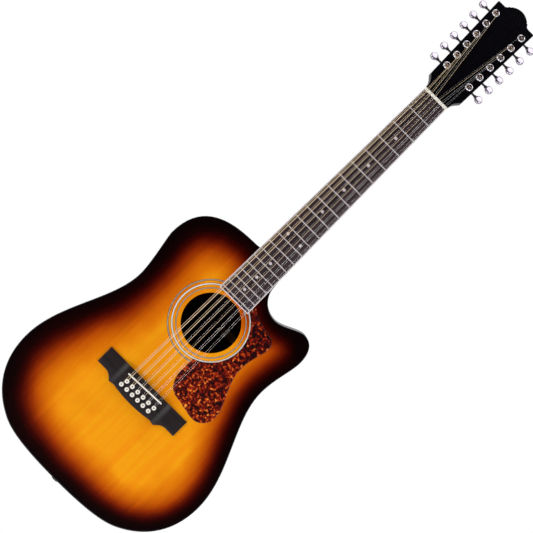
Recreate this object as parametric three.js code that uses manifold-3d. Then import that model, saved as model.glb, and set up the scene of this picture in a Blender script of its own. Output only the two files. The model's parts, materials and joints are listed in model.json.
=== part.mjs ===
// Twelve-string acoustic guitar with a rounded cutaway, built as the real one is: a soundbox of
// thin plates on bent sides with its blocks, linings and braces, a neck with a tilted headstock,
// twelve geared tuners, and twelve strings in six pairs.
//
// Millimetres. +Z runs up the neck, the soundboard faces -Y and the treble side is +X. The origin
// is the centre of the end pin's outer face, and y = 0 is the middle of the sides at the tail.

import * as THREE from "three";
import { mergeVertices } from "three/addons/utils/BufferGeometryUtils.js";
import Module from "manifold-3d";

const wasm = await Module();
wasm.setup();

// ---- Fits ----
const glueLine = 0.1; // between flat faces that are glued together
const seat = 0.3; // round a piece in its slot, or between pieces on a tilted plane

// ---- Body ----
const tailHeight = 10; // the tail's edge above the end pin's outer face
const bodyLength = 491;
const lowerBoutHalf = 193.8; // half-widths of the outline
const waistHalf = 134.7;
const upperBoutHalf = 146.2;
const hornHalf = 145.4;
const lowerBoutAt = 129.7; // their heights above the tail's edge
const waistAt = 328.4;
const upperBoutAt = 409;
const hornAt = 405.9;
const hornDrop = 48.7; // the horn's tip and the cutaway's floor, below the neck joint
const cutawayDrop = 66;
const cutawayWallDrop = 34; // where the cutaway meets the fretboard's side
const neckCornerHalf = 28.5; // half-width of the body's flat end at the neck
const cutawayWallGap = 3; // how far outside that corner the cutaway ends
const tailDepth = 122; // over both plates, at the tail
const heelDepth = 104; // over both plates, at the neck joint
const backCrossRadius = 4570; // the back's arch from side to side
const backArch = 6.6; // the back's arch along its length
const topThickness = 3;
const backThickness = 3;
const sideThickness = 2.3;
const bindingWidth = 2;
const bindingDepth = 6;
const liningWidth = 6;
const liningDepth = 14;
const pointsPerSpan = 5; // outline points on each stretch between knots
const headCurvePoints = 4; // and on each curve of the headstock

// ---- Soundboard fittings, placed from the saddle line ----
const saddleFromTail = 203.7;
const soundholeFromSaddle = 147.2;
const soundholeRadius = 48.2;
const bridgeHalfLength = 84.4;
const bridgeHeight = 8.5;
const bridgeWingHeight = 3.5;
const bridgeFlatHalf = 42; // half-length of its raised middle
const bridgeSlopeEnd = 54; // where the slope has run down to the wing
const bridgeFront = 9; // its edges, from the saddle line
const bridgeWingRear = -22.1;
const bridgeBellyRear = -33.7;
const bridgeWingInner = 68; // where its rear edge leaves the wing, turns the corner and meets
const bridgeCornerHalf = 49.7; // the belly's curve, and how far the last two are from the
const bridgeBellyHalf = 40.2; // belly's rear
const bridgeCornerRise = 1.5;
const bridgeBellyRise = 3.6;
const bridgeWingBend = 57; // the control points of its rear and of its slopes
const bridgeSlopeBend = 48;
const saddleLength = 71.5;
const saddleWidth = 2.6;
const saddleSlant = 2.8; // how far the treble end is nearer the nut
const saddleSlotDepth = 5;
const saddleTopHeight = 11; // above the soundboard
const pinHoleRadius = 2.8;
const rearPinRow = -21.1;
const frontPinRow = -11.6;
const pickguardThickness = 1.2;

// ---- Bracing ----
const braceWidth = 8;
const braceDepth = 14;
const toneBarDepth = 10;
const xBraceAngle = THREE.MathUtils.degToRad(47); // each leg from the centre line
const braceHoleGap = 8.3; // between the legs and the soundhole
const transverseWidth = 10;
const transverseGap = 4.4; // between the transverse brace and the soundhole
const bridgePlateThickness = 2.5;
const backBraceHeights = [95, 200, 300, 385]; // above the tail's edge
const backBraceEndDepth = 4;
const backStripHalf = 8; // the strip over the back's centre seam
const backStripThickness = 2;
// The tone bars and finger braces, each from a rise along a leg of the X, measured from the
// crossing, to an end at this x and height above the tail's edge.
const smallBraces = [
  { leg: -1, rise: -118, end: [75, 112] },
  { leg: -1, rise: -150, end: [45, 62] },
  { leg: -1, rise: -78, end: [-148, 205] },
  { leg: 1, rise: -78, end: [148, 205] },
  { leg: -1, rise: 62, end: [-112, 318] },
  { leg: 1, rise: 62, end: [112, 318] },
];

// ---- Blocks and the end pin ----
const neckBlockLength = 60;
const neckBlockBassHalf = 40;
const tailBlockHalf = 35;
const tailBlockThickness = 18;
const endPinShaftRadius = 3.9;
const endPinHeadRadius = 7;

// ---- Neck ----
const scaleLength = 648; // nut face to saddle
const fretCount = 20;
const fretboardPastLastFret = 6.2;
const nutHalf = 23.9; // the fretboard's half-widths at its two ends
const fretboardEndHalf = 31.15;
const fretboardThickness = 6;
const fretboardBindingWidth = 1.6;
const fretWidth = 2.4;
const fretHeight = 1.1;
const nutThickness = 5;
const nutHeight = 7.6; // above the neck's top face
const shaftDepthAtNut = 15.5;
const shaftDepthAtHeel = 17.5;
const heelLength = 90;
const heelCapLength = 8;
const heelEllipseDepth = 133; // the heel's section is this ellipse, cut off flat at the back
const trussRodWidth = 5.4;
const trussRodTop = 3.5; // below the neck's top face
const trussRodDepth = 7;

// ---- Headstock, measured up from the nut's back edge along the tilted face ----
const headTilt = THREE.MathUtils.degToRad(13);
const headThickness = 14.5;
const veneerThickness = 1.5;
const headCrestHeight = 16; // the tip above the top corners
const headThroatHalf = 24;
const headLowerHalf = 34.3;
const headLowerAt = 22.8;
const headUpperHalf = 39.7;
const headAboveTuners = 18.4; // the top corners above the last posts
const headCornerCut = 1.5; // its top corners
const headShoulderHalf = 26.9; // where the crest rises from the shoulders, and its own corners
const headCrestHalf = 20.3;
const headCrestTopHalf = 17.3;
const headCrestDrop = 8.6; // those corners below the tip
const headCrestTopDrop = 6.9;
const throatLength = 14; // of the neck's rounded back, past the nut

// ---- Tuners ----
const tunersPerSide = 6;
const firstTunerAt = 49.6;
const tunerSpacing = 24.3;
const postInset = 10.4; // post centre, in from the headstock's edge
const postRadius = 3;
const postTop = 9.5; // above the headstock's face
const windingRadius = 4.3;
const windingHeight = 5; // its middle above the headstock's face
const bushingRadius = 4.9;
const bushingBoreRadius = 3.4;
const flangeRadius = 6.5;
const flangeHeight = 2.2;
const housingHalf = 7.5;
const housingBelow = 6.5; // the housing's reach from the post, toward the nut and the tip
const housingAbove = 9;
const housingDepth = 11.8;
const housingWall = 1.3;
const housingChamfer = 2.5;
const wormOffset = 5; // worm axis from post axis, toward the tip
const wormDepth = 6; // worm axis behind the headstock's back
const wheelRadius = 3.4;
const wheelHalf = 1.5; // half its thickness
const wheelHubRadius = 1.7;
const wormRadius = 1.4;
const wormHalf = 4.5; // half its length
const windingHalf = 1.5; // half the length of the string's turns on the post
const buttonShaftRadius = 1.8;
const buttonCollarRadius = 2.7;
const buttonRadius = 6.8;
const buttonThickness = 6.5;
const buttonChamfer = 1.5;
const buttonFromPost = 25;

// ---- Strings ----
const courseSpacingAtBridge = 12;
const courseSpacingAtNut = 7.74;
const pairSpacingAtBridge = 3.1;
const pairSpacingAtNut = 2.6;
const pinFront = 1.3; // each string lies against the front of its pin hole
const ballRadius = 1; // the ball ends under the bridge plate, which hold the set together
// Bass to treble; in each course the string nearer the bass comes first.
const stringDiameters = [0.69, 1.19, 0.46, 0.99, 0.3, 0.76, 0.2, 0.58, 0.36, 0.36, 0.25, 0.25];

// ---- Places worked out from the sizes ----
const frontY = -tailDepth / 2; // the soundboard's outer face, and the neck's top face
const topUnderY = frontY + topThickness;
const neckJointZ = tailHeight + bodyLength;
const saddleZ = tailHeight + saddleFromTail;
const soundholeZ = saddleZ + soundholeFromSaddle;
const nutZ = saddleZ + scaleLength;
const headZ = nutZ + nutThickness;
const fretboardEndZ = fretZ(fretCount) - fretboardPastLastFret;
const liningInner = sideThickness + glueLine + liningWidth;
const crossZ =
  soundholeZ - (soundholeRadius + braceHoleGap + braceWidth / 2) / Math.sin(xBraceAngle);
const neckBlockZ = neckJointZ - sideThickness - glueLine - neckBlockLength;
const headUpperAt = firstTunerAt + (tunersPerSide - 1) * tunerSpacing + headAboveTuners;
const headLength = headUpperAt + headCrestHeight;

function fretZ(number) {
  return saddleZ + scaleLength / 2 ** (number / 12);
}

// ---- Solids ----

function geometryFrom(corners, triangles) {
  const geometry = new THREE.BufferGeometry();
  const numbers = corners.flatMap((corner) => [corner.x, corner.y, corner.z]);
  geometry.setAttribute("position", new THREE.Float32BufferAttribute(numbers, 3));
  geometry.setIndex(triangles);
  return geometry;
}

// The same geometry with shared corners merged, its faces turned outward.
function solidOf(geometry) {
  const bare = geometry.index ? geometry.toNonIndexed() : geometry.clone();
  bare.deleteAttribute("normal");
  bare.deleteAttribute("uv");
  const merged = mergeVertices(bare);
  const mesh = (corners) =>
    new wasm.Manifold(
      new wasm.Mesh({
        numProp: 3,
        vertProperties: merged.getAttribute("position").array,
        triVerts: new Uint32Array(corners),
      }),
    );
  const corners = Array.from(merged.index.array);
  const solid = mesh(corners);
  return solid.volume() > 0 ? solid : mesh(corners.reverse());
}

function geometryOf(solid) {
  const { vertProperties, triVerts } = solid.getMesh();
  const geometry = new THREE.BufferGeometry();
  geometry.setAttribute("position", new THREE.BufferAttribute(new Float32Array(vertProperties), 3));
  geometry.setIndex(new THREE.BufferAttribute(new Uint32Array(triVerts), 1));
  return geometry;
}

function join(...geometries) {
  return geometryOf(geometries.map(solidOf).reduce((whole, piece) => whole.add(piece)));
}

function cut(geometry, ...tools) {
  return geometryOf(tools.map(solidOf).reduce((rest, tool) => rest.subtract(tool), solidOf(geometry)));
}

function overlapOf(geometry, other) {
  return geometryOf(solidOf(geometry).intersect(solidOf(other)));
}

// A flat plate: a shape drawn in x and z, from one y to another.
function plate(shape, nearY, farY, curveSegments = 12) {
  const geometry = new THREE.ExtrudeGeometry(shape, {
    depth: farY - nearY,
    bevelEnabled: false,
    curveSegments,
  });
  return geometry.rotateX(Math.PI / 2).translate(0, farY, 0);
}

function box(x0, x1, y0, y1, z0, z1) {
  const geometry = new THREE.BoxGeometry(x1 - x0, y1 - y0, z1 - z0);
  return geometry.translate((x0 + x1) / 2, (y0 + y1) / 2, (z0 + z1) / 2);
}

// A straight bar on edge, between two places on the plan of the body.
function bar(from, to, width, nearY, farY) {
  const run = to.clone().sub(from);
  const geometry = new THREE.BoxGeometry(run.length(), farY - nearY, width);
  geometry.rotateY(-run.angle());
  return geometry.translate((from.x + to.x) / 2, (nearY + farY) / 2, (from.y + to.y) / 2);
}

// A straight round rod between two points in space.
function rod(from, to, radius, sides = 6) {
  const run = to.clone().sub(from);
  const geometry = new THREE.CylinderGeometry(radius, radius, run.length(), sides);
  const turn = new THREE.Quaternion().setFromUnitVectors(new THREE.Vector3(0, 1, 0), run.normalize());
  const middle = from.clone().add(to).multiplyScalar(0.5);
  return geometry.applyQuaternion(turn).translate(middle.x, middle.y, middle.z);
}

// A wire bent at the points of its path, which keeps nearly to one upright plane.
function wire(path, radius, sides = 6) {
  const across = new THREE.Vector3(1, 0, 0);
  const sections = path.map((point, i) => {
    const from = path[Math.max(i - 1, 0)];
    const to = path[Math.min(i + 1, path.length - 1)];
    const away = to.clone().sub(from).cross(across).normalize();
    return Array.from({ length: sides }, (_, side) => {
      const angle = (2 * Math.PI * side) / sides;
      const offset = across.clone().multiplyScalar(Math.cos(angle)).addScaledVector(away, Math.sin(angle));
      return point.clone().addScaledVector(offset, radius);
    });
  });
  return loft(sections);
}

// Closed sections joined one to the next, end to end or back to the first.
function loft(sections, closed = false) {
  const around = sections[0].length;
  const triangles = [];
  const spans = closed ? sections.length : sections.length - 1;
  for (let span = 0; span < spans; span++) {
    const here = span * around;
    const there = ((span + 1) % sections.length) * around;
    for (let side = 0; side < around; side++) {
      const next = (side + 1) % around;
      triangles.push(here + side, here + next, there + next);
      triangles.push(here + side, there + next, there + side);
    }
  }
  if (!closed) {
    const last = (sections.length - 1) * around;
    for (let side = 1; side < around - 1; side++) {
      triangles.push(0, side + 1, side);
      triangles.push(last, last + side, last + side + 1);
    }
  }
  return geometryFrom(sections.flat(), triangles);
}

// ---- The body's outline ----

// A point that the outline passes smoothly: its heading in degrees from +X, and how far the
// curve holds to that heading before and after it.
function knot(x, z, degrees, before, after) {
  const turn = THREE.MathUtils.degToRad(degrees);
  const heading = new THREE.Vector2(Math.cos(turn), Math.sin(turn));
  const at = new THREE.Vector2(x, tailHeight + z);
  return {
    at,
    arriving: at.clone().addScaledVector(heading, -before),
    leaving: at.clone().addScaledVector(heading, after),
  };
}

function trace(knots) {
  const path = new THREE.CurvePath();
  for (let i = 1; i < knots.length; i++) {
    const [from, to] = [knots[i - 1], knots[i]];
    path.add(new THREE.CubicBezierCurve(from.at, from.leaving, to.arriving, to.at));
  }
  return path.getPoints(pointsPerSpan);
}

// Counterclockwise seen from the back of the plan: treble neck corner, bass neck corner, down
// the bass side, round the tail and up the treble side to the cutaway.
function bodyOutline() {
  const lowerHalf = [
    knot(0, 0, 0, 95, 95),
    knot(130.5, 19.4, 29, 17, 38),
    knot(lowerBoutHalf, lowerBoutAt, 90, 58, 72),
  ];
  const bass = trace([
    ...lowerHalf,
    knot(waistHalf, waistAt, 90, 61, 24),
    knot(upperBoutHalf, upperBoutAt, 90, 8, 93),
    knot(neckCornerHalf, bodyLength, 166, 18, 0),
  ]);
  const treble = trace([
    ...lowerHalf,
    knot(waistHalf, waistAt, 90, 61, 32),
    knot(hornHalf, hornAt, 90, 20, 30),
    knot(119.4, bodyLength - hornDrop, 180, 10.5, 12),
    knot(69.8, bodyLength - cutawayDrop, 180, 15.5, 23),
    knot(neckCornerHalf + cutawayWallGap, bodyLength - cutawayWallDrop, 97, 14, 0),
  ]);
  const mirrored = bass.map((point) => new THREE.Vector2(-point.x, point.y)).reverse();
  const trebleCorner = new THREE.Vector2(neckCornerHalf, neckJointZ);
  return [trebleCorner, ...mirrored, ...treble.slice(1)];
}

const outline = bodyOutline();

// The outline moved inward by the same distance all round.
function inset(distance) {
  const inward = (from, to) => new THREE.Vector2(from.y - to.y, to.x - from.x).normalize();
  return outline.map((point, i) => {
    const before = outline[(i + outline.length - 1) % outline.length];
    const after = outline[(i + 1) % outline.length];
    const middle = inward(before, point).add(inward(point, after));
    return point.clone().addScaledVector(middle, (2 * distance) / middle.lengthSq());
  });
}

// How far it is from a point inside the body to the inset outline, along a direction.
function reach(from, direction, distance) {
  const loop = inset(distance);
  let nearest = Infinity;
  loop.forEach((start, i) => {
    const edge = loop[(i + 1) % loop.length].clone().sub(start);
    const offset = start.clone().sub(from);
    const across = direction.cross(edge);
    const along = offset.cross(edge) / across;
    const share = offset.cross(direction) / across;
    if (along > 0 && share >= 0 && share <= 1) nearest = Math.min(nearest, along);
  });
  return nearest;
}

// The back's outer face: tapering from tail to neck, arched both ways.
function backY(x, z) {
  const share = (z - tailHeight) / bodyLength;
  const taper = tailDepth / 2 - (tailDepth - heelDepth) * share;
  return taper + 4 * backArch * share * (1 - share) - x ** 2 / (2 * backCrossRadius);
}

const onFace = (y) => () => y;
const belowBack = (depth) => (x, z) => backY(x, z) - depth;

// A ring of wall along the outline between two insets and two faces. An open one leaves out
// the points that fail the test and stops at the neck.
function wall(outerInset, innerInset, near, far, keep) {
  const outer = inset(outerInset);
  const inner = inset(innerInset);
  const corner = (point, face) => new THREE.Vector3(point.x, face(point.x, point.y), point.y);
  const sections = outer.map((point, i) => [
    corner(point, near),
    corner(point, far),
    corner(inner[i], far),
    corner(inner[i], near),
  ]);
  if (!keep) return loft(sections, true);
  const open = [...sections.slice(1), sections[0]];
  return loft(open.filter((section) => keep(section[2])));
}

const everywhere = () => true;
const clearOfNeckBlock = (corner) =>
  corner.z < neckBlockZ - 1 || corner.x < -neckBlockBassHalf - 1 || corner.x > 2 * neckBlockBassHalf;

// ---- Body pieces ----

function shapeOf(points) {
  return new THREE.Shape(points);
}

function pinHoles(nearY, farY) {
  return strings().map(({ pin }) =>
    rod(new THREE.Vector3(pin.x, nearY, pin.y), new THREE.Vector3(pin.x, farY, pin.y), pinHoleRadius),
  );
}

function soundboard() {
  const shape = shapeOf(inset(bindingWidth + glueLine));
  shape.holes.push(new THREE.Path().absarc(0, soundholeZ, soundholeRadius, 0, 2 * Math.PI));
  return cut(plate(shape, frontY, topUnderY, 18), ...pinHoles(frontY - 1, topUnderY + 1));
}

function back() {
  const rim = inset(bindingWidth + glueLine);
  const centre = new THREE.Vector2(0, tailHeight + 0.43 * bodyLength);
  const rings = [1, 0.8, 0.5, 0.2];
  const face = (depth) => {
    const place = (point) => new THREE.Vector3(point.x, backY(point.x, point.y) - depth, point.y);
    const ringPoints = rings.map((share) => rim.map((point) => place(centre.clone().lerp(point, share))));
    return [...ringPoints.flat(), place(centre)];
  };
  const outer = face(0);
  const inner = face(backThickness);
  const around = rim.length;
  const triangles = [];
  for (let i = 0; i < around; i++) {
    const next = (i + 1) % around;
    for (let ring = 0; ring < rings.length; ring++) {
      const here = [ring * around + i, ring * around + next];
      const last = ring === rings.length - 1;
      const there = last ? [outer.length - 1] : [here[0] + around, here[1] + around];
      addFacePair(triangles, [here[0], here[1], there[0]], outer.length);
      if (!last) addFacePair(triangles, [here[1], there[1], there[0]], outer.length);
    }
    triangles.push(i, outer.length + i, outer.length + next, i, outer.length + next, next);
  }
  return geometryFrom([...outer, ...inner], triangles);
}

// One triangle on a plate's outer face, and its opposite on the inner face.
function addFacePair(triangles, [a, b, c], innerStart) {
  triangles.push(a, b, c, innerStart + a, innerStart + c, innerStart + b);
}

function endPinHole() {
  const sides = 12;
  const end = tailHeight + sideThickness + tailBlockThickness + 5;
  return rod(new THREE.Vector3(), new THREE.Vector3(0, 0, end), endPinShaftRadius + seat, sides);
}

function trussRodSlot(fromZ, toZ) {
  const half = trussRodWidth / 2 + seat;
  return box(-half, half, frontY - 1, frontY + trussRodTop + trussRodDepth + seat, fromZ, toZ);
}

function sides() {
  const depth = bindingDepth + glueLine;
  const ring = wall(0, sideThickness, onFace(frontY + depth), belowBack(depth));
  return cut(ring, endPinHole(), trussRodSlot(neckJointZ - 10, neckJointZ + 10));
}

function topLining() {
  const near = topUnderY + glueLine;
  const outer = sideThickness + glueLine;
  return wall(outer, liningInner, onFace(near), onFace(near + liningDepth), clearOfNeckBlock);
}

function backLining() {
  const depth = backThickness + seat;
  const outer = sideThickness + glueLine;
  return wall(outer, liningInner, belowBack(depth + liningDepth), belowBack(depth), clearOfNeckBlock);
}

function topBinding() {
  return wall(0, bindingWidth, onFace(frontY), onFace(frontY + bindingDepth), everywhere);
}

function backBinding() {
  return wall(0, bindingWidth, belowBack(bindingDepth), belowBack(0), everywhere);
}

function neckBlock() {
  const corner = new THREE.Vector2(-neckBlockBassHalf, neckBlockZ);
  const top = neckBlockZ + reach(corner, new THREE.Vector2(0, 1), sideThickness + seat);
  const trebleHalf = neckCornerHalf - sideThickness - 0.7;
  const inside = (z) => backY(neckBlockBassHalf, z) - backThickness - seat;
  const profile = (x) => [
    new THREE.Vector3(x, topUnderY + glueLine, neckBlockZ),
    new THREE.Vector3(x, inside(neckBlockZ), neckBlockZ),
    new THREE.Vector3(x, inside(top), top),
    new THREE.Vector3(x, topUnderY + glueLine, top),
  ];
  return cut(loft([profile(-neckBlockBassHalf), profile(trebleHalf)]), trussRodSlot(neckBlockZ - 1, top + 1));
}

// Its outer face follows the inside of the sides, and it stands between the two linings.
function tailBlock() {
  const wallLine = inset(sideThickness + seat).filter(
    (point) => Math.abs(point.x) < tailBlockHalf && point.y < tailHeight + tailBlockThickness,
  );
  const innerZ = tailHeight + sideThickness + tailBlockThickness;
  const edges = [new THREE.Vector2(tailBlockHalf, innerZ), new THREE.Vector2(-tailBlockHalf, innerZ)];
  const near = topUnderY + liningDepth + 2 * glueLine;
  const far = backY(tailBlockHalf, tailHeight) - backThickness - liningDepth - 2 * seat;
  return cut(plate(shapeOf([...wallLine, ...edges]), near, far), endPinHole());
}

function endPin() {
  const head = endPinHeadRadius;
  const profile = [
    [0, 0],
    [head - 1.5, 0],
    [head, 1.5],
    [head, 3],
    [head - 2.5, 5],
    [head - 2.5, 7],
    [head, 9],
    [head, tailHeight - glueLine * 2],
    [endPinShaftRadius, tailHeight - glueLine * 2],
    [endPinShaftRadius, tailHeight + sideThickness + tailBlockThickness],
    [0, tailHeight + sideThickness + tailBlockThickness],
  ];
  return turned(profile, 16).rotateX(Math.PI / 2);
}

// A solid turned round the Y axis from pairs of radius and height.
function turned(profile, segments) {
  const points = profile.map(([radius, height]) => new THREE.Vector2(radius, height));
  return new THREE.LatheGeometry(points, segments);
}

// A point on an X-brace leg, by its distance along the centre line from the crossing.
function legPoint(side, rise) {
  return new THREE.Vector2(side * Math.abs(rise) * Math.tan(xBraceAngle), crossZ + rise);
}

function xBrace() {
  const near = topUnderY + glueLine;
  const far = near + braceDepth;
  const crossing = new THREE.Vector2(0, crossZ);
  const margin = liningInner + braceWidth / 2 + seat;
  const end = (side, up) => {
    const direction = legPoint(side, up).sub(crossing).normalize();
    return crossing.clone().addScaledVector(direction, reach(crossing, direction, margin) - 1);
  };
  const legs = [-1, 1].map((side) => bar(end(side, -1), end(-side, 1), braceWidth, near, far));
  const small = smallBraces.map(({ leg, rise, end: [x, z] }) => {
    const tip = new THREE.Vector2(x, tailHeight + z);
    return bar(legPoint(leg, rise), tip, braceWidth, near, near + toneBarDepth);
  });
  return join(...legs, ...small);
}

function transverseBrace() {
  const near = topUnderY + glueLine;
  const low = soundholeZ + soundholeRadius + transverseGap;
  const span = (direction) => {
    const edges = [low, low + transverseWidth];
    const side = new THREE.Vector2(direction, 0);
    return Math.min(...edges.map((z) => reach(new THREE.Vector2(0, z), side, liningInner + seat)));
  };
  return box(-span(-1), span(1), near, near + braceDepth, low, low + transverseWidth);
}

function bridgePlate() {
  const halfAt = (z) =>
    (crossZ - z) * Math.tan(xBraceAngle) - braceWidth / 2 / Math.cos(xBraceAngle) - 1;
  const top = saddleZ + bridgeFront;
  const bottom = saddleZ + bridgeBellyRear - 3;
  const widest = Math.min(halfAt(bottom), bridgeHalfLength);
  const shape = shapeOf([
    new THREE.Vector2(-halfAt(top), top),
    new THREE.Vector2(-widest, bottom),
    new THREE.Vector2(widest, bottom),
    new THREE.Vector2(halfAt(top), top),
  ]);
  const near = topUnderY + glueLine;
  const far = near + bridgePlateThickness;
  return cut(plate(shape, near, far), ...pinHoles(near - 1, far + 1));
}

// Four braces across the back, joined by the strip that covers its centre seam.
function backBracing() {
  const outside = backThickness + seat;
  const brace = (height) => {
    const z = tailHeight + height;
    const ends = [z - braceWidth / 2, z + braceWidth / 2];
    const treble = new THREE.Vector2(1, 0);
    const spans = ends.map((edge) => reach(new THREE.Vector2(0, edge), treble, liningInner + 1));
    const half = Math.min(...spans);
    const shares = [-1, -0.8, -0.4, 0, 0.4, 0.8, 1];
    const sections = shares.map((share) => {
      const x = share * half;
      const depth = Math.abs(share) === 1 ? backBraceEndDepth : braceDepth;
      const far = Math.min(...ends.map((edge) => backY(x, edge))) - outside;
      return [
        new THREE.Vector3(x, far - depth, ends[0]),
        new THREE.Vector3(x, far, ends[0]),
        new THREE.Vector3(x, far, ends[1]),
        new THREE.Vector3(x, far - depth, ends[1]),
      ];
    });
    return loft(sections);
  };
  const low = tailHeight + sideThickness + tailBlockThickness + 2;
  const steps = 8;
  const strip = Array.from({ length: steps + 1 }, (_, i) => {
    const z = THREE.MathUtils.lerp(low, neckBlockZ - 2, i / steps);
    const far = backY(backStripHalf, z) - outside;
    return [
      new THREE.Vector3(-backStripHalf, far - backStripThickness, z),
      new THREE.Vector3(backStripHalf, far - backStripThickness, z),
      new THREE.Vector3(backStripHalf, far, z),
      new THREE.Vector3(-backStripHalf, far, z),
    ];
  });
  return join(loft(strip), ...backBraceHeights.map(brace));
}

function bridge() {
  const foot = frontY - glueLine;
  const top = foot - bridgeHeight;
  const wing = foot - bridgeWingHeight;
  const cornerZ = bridgeBellyRear + bridgeCornerRise;
  const bellyZ = bridgeBellyRear + bridgeBellyRise;
  const plan = new THREE.Shape();
  plan.moveTo(bridgeHalfLength, bridgeFront);
  plan.lineTo(-bridgeHalfLength, bridgeFront);
  plan.lineTo(-bridgeHalfLength, bridgeWingRear);
  plan.lineTo(-bridgeWingInner, bridgeWingRear);
  plan.quadraticCurveTo(-bridgeWingBend, bridgeWingRear, -bridgeCornerHalf, cornerZ);
  plan.lineTo(-bridgeBellyHalf, bellyZ);
  plan.quadraticCurveTo(0, bridgeBellyRear - bridgeBellyRise, bridgeBellyHalf, bellyZ);
  plan.lineTo(bridgeCornerHalf, cornerZ);
  plan.quadraticCurveTo(bridgeWingBend, bridgeWingRear, bridgeWingInner, bridgeWingRear);
  plan.lineTo(bridgeHalfLength, bridgeWingRear);
  const blank = plate(plan, top, foot, 5).translate(0, 0, saddleZ);

  const side = new THREE.Shape();
  const flat = top - 0.1; // just above the blank, so that the two faces don't coincide
  side.moveTo(-bridgeHalfLength - 1, foot + 1);
  side.lineTo(-bridgeHalfLength - 1, wing);
  side.lineTo(-bridgeSlopeEnd, wing);
  side.quadraticCurveTo(-bridgeSlopeBend, wing, -bridgeFlatHalf, flat);
  side.lineTo(bridgeFlatHalf, flat);
  side.quadraticCurveTo(bridgeSlopeBend, wing, bridgeSlopeEnd, wing);
  side.lineTo(bridgeHalfLength + 1, wing);
  side.lineTo(bridgeHalfLength + 1, foot + 1);
  const depth = bridgeFront - bridgeBellyRear + 10;
  const profile = new THREE.ExtrudeGeometry(side, { depth, bevelEnabled: false, curveSegments: 5 });
  profile.translate(0, 0, saddleZ + bridgeBellyRear - 5);

  const slot = saddleBar(seat, top - 1, top + saddleSlotDepth);
  return cut(overlapOf(blank, profile), slot, ...pinHoles(top - 1, foot + 1));
}

function saddleBar(clearance, nearY, farY) {
  const angle = Math.atan2(saddleSlant, saddleLength);
  const length = saddleLength + 2 * clearance;
  const width = saddleWidth + 2 * clearance;
  const geometry = new THREE.BoxGeometry(length, farY - nearY, width);
  return geometry.rotateY(-angle).translate(0, (nearY + farY) / 2, saddleZ);
}

function saddle() {
  const slotFloor = frontY - glueLine - bridgeHeight + saddleSlotDepth;
  return saddleBar(0, frontY - saddleTopHeight, slotFloor - glueLine);
}

// Drawn from the saddle line up; its inner edge is an arc round the soundhole.
function pickguard() {
  const arcRadius = 63.2;
  const shape = new THREE.Shape();
  shape.moveTo(34.5, 214);
  shape.lineTo(33, 201);
  shape.absarc(0, soundholeFromSaddle, arcRadius, 1.02, -1.245, true);
  shape.lineTo(19.7, 62);
  shape.bezierCurveTo(19.7, 42, 30, 27.5, 43, 25.8);
  shape.bezierCurveTo(60, 24, 75, 18.6, 87, 18.6);
  shape.bezierCurveTo(99, 18.6, 111.2, 29, 111.1, 45);
  shape.bezierCurveTo(111, 72, 85, 95, 85, 130);
  shape.bezierCurveTo(85, 152, 94.3, 170, 94.5, 181);
  shape.bezierCurveTo(94.7, 189, 91, 195, 84, 196.5);
  shape.bezierCurveTo(62, 200.5, 42, 207, 34.5, 214);
  const far = frontY - glueLine;
  return plate(shape, far - pickguardThickness, far, 7).translate(0, 0, saddleZ);
}

// ---- Neck pieces ----

function fretboardHalf(z) {
  return THREE.MathUtils.mapLinear(z, fretboardEndZ, nutZ, fretboardEndHalf, nutHalf);
}

// A rounded neck section, flat on top; cut off flat where it would pass the heel's end.
function neckSection(z, half, topY, depth, deepest = Infinity) {
  const steps = 10;
  return Array.from({ length: steps + 1 }, (_, i) => {
    const angle = (Math.PI * i) / steps;
    const y = Math.min(topY + depth * Math.sin(angle) ** 0.85, deepest);
    return new THREE.Vector3(half * Math.cos(angle), y, z);
  });
}

function neckShaft() {
  const heelFace = neckJointZ + glueLine;
  const heelEnd = backY(0, neckJointZ);
  const sections = [neckSection(heelFace, fretboardHalf(heelFace), frontY, heelEllipseDepth, heelEnd)];
  for (const share of [0, 0.08, 0.2, 0.35, 0.5, 0.7, 1]) {
    const z = heelFace + heelCapLength + share * heelLength;
    const depth = shaftDepthAtHeel + (heelEllipseDepth - shaftDepthAtHeel) * (1 - share) ** 3;
    sections.push(neckSection(z, fretboardHalf(z), frontY, depth, heelEnd));
  }
  sections.push(neckSection(headZ, fretboardHalf(nutZ), frontY, shaftDepthAtNut));
  const throatTop = frontY + throatLength * Math.tan(headTilt);
  sections.push(neckSection(headZ + throatLength, headThroatHalf, throatTop, headThickness + 1.5));
  return loft(sections);
}

function headOutline(clearance) {
  const [throat, lower, upper] = [headThroatHalf, headLowerHalf, headUpperHalf].map((x) => x - clearance);
  const shoulder = headUpperAt + headCornerCut;
  const tip = headLength - clearance;
  const right = new THREE.Path();
  right.moveTo(throat, clearance);
  right.bezierCurveTo(throat + 0.6, 12, 27, 14, lower, headLowerAt);
  right.lineTo(upper, headUpperAt);
  right.lineTo(upper - 1, shoulder);
  right.lineTo(headShoulderHalf, shoulder);
  right.quadraticCurveTo(22, shoulder + 0.5, headCrestHalf, headLength - headCrestDrop);
  right.lineTo(headCrestTopHalf, headLength - headCrestTopDrop);
  right.quadraticCurveTo(9.1, tip, 0, tip);
  const points = right.getPoints(headCurvePoints);
  const left = points.slice(0, -1).map((point) => new THREE.Vector2(-point.x, point.y));
  return shapeOf([...points, ...left.reverse()]);
}

// Each tuner's side and its post's place on the headstock.
function tunerPlaces() {
  return [-1, 1].flatMap((side) =>
    Array.from({ length: tunersPerSide }, (_, i) => {
      const z = firstTunerAt + i * tunerSpacing;
      const edge = THREE.MathUtils.mapLinear(z, headLowerAt, headUpperAt, headLowerHalf, headUpperHalf);
      const name = (side < 0 ? "bass_" : "treble_") + (i + 1);
      return { name, side, x: side * (edge - postInset), z };
    }),
  );
}

function bushingHoles(nearY, farY) {
  return tunerPlaces().map(({ x, z }) =>
    rod(new THREE.Vector3(x, nearY, z), new THREE.Vector3(x, farY, z), bushingRadius + seat + 0.2, 8),
  );
}

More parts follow.
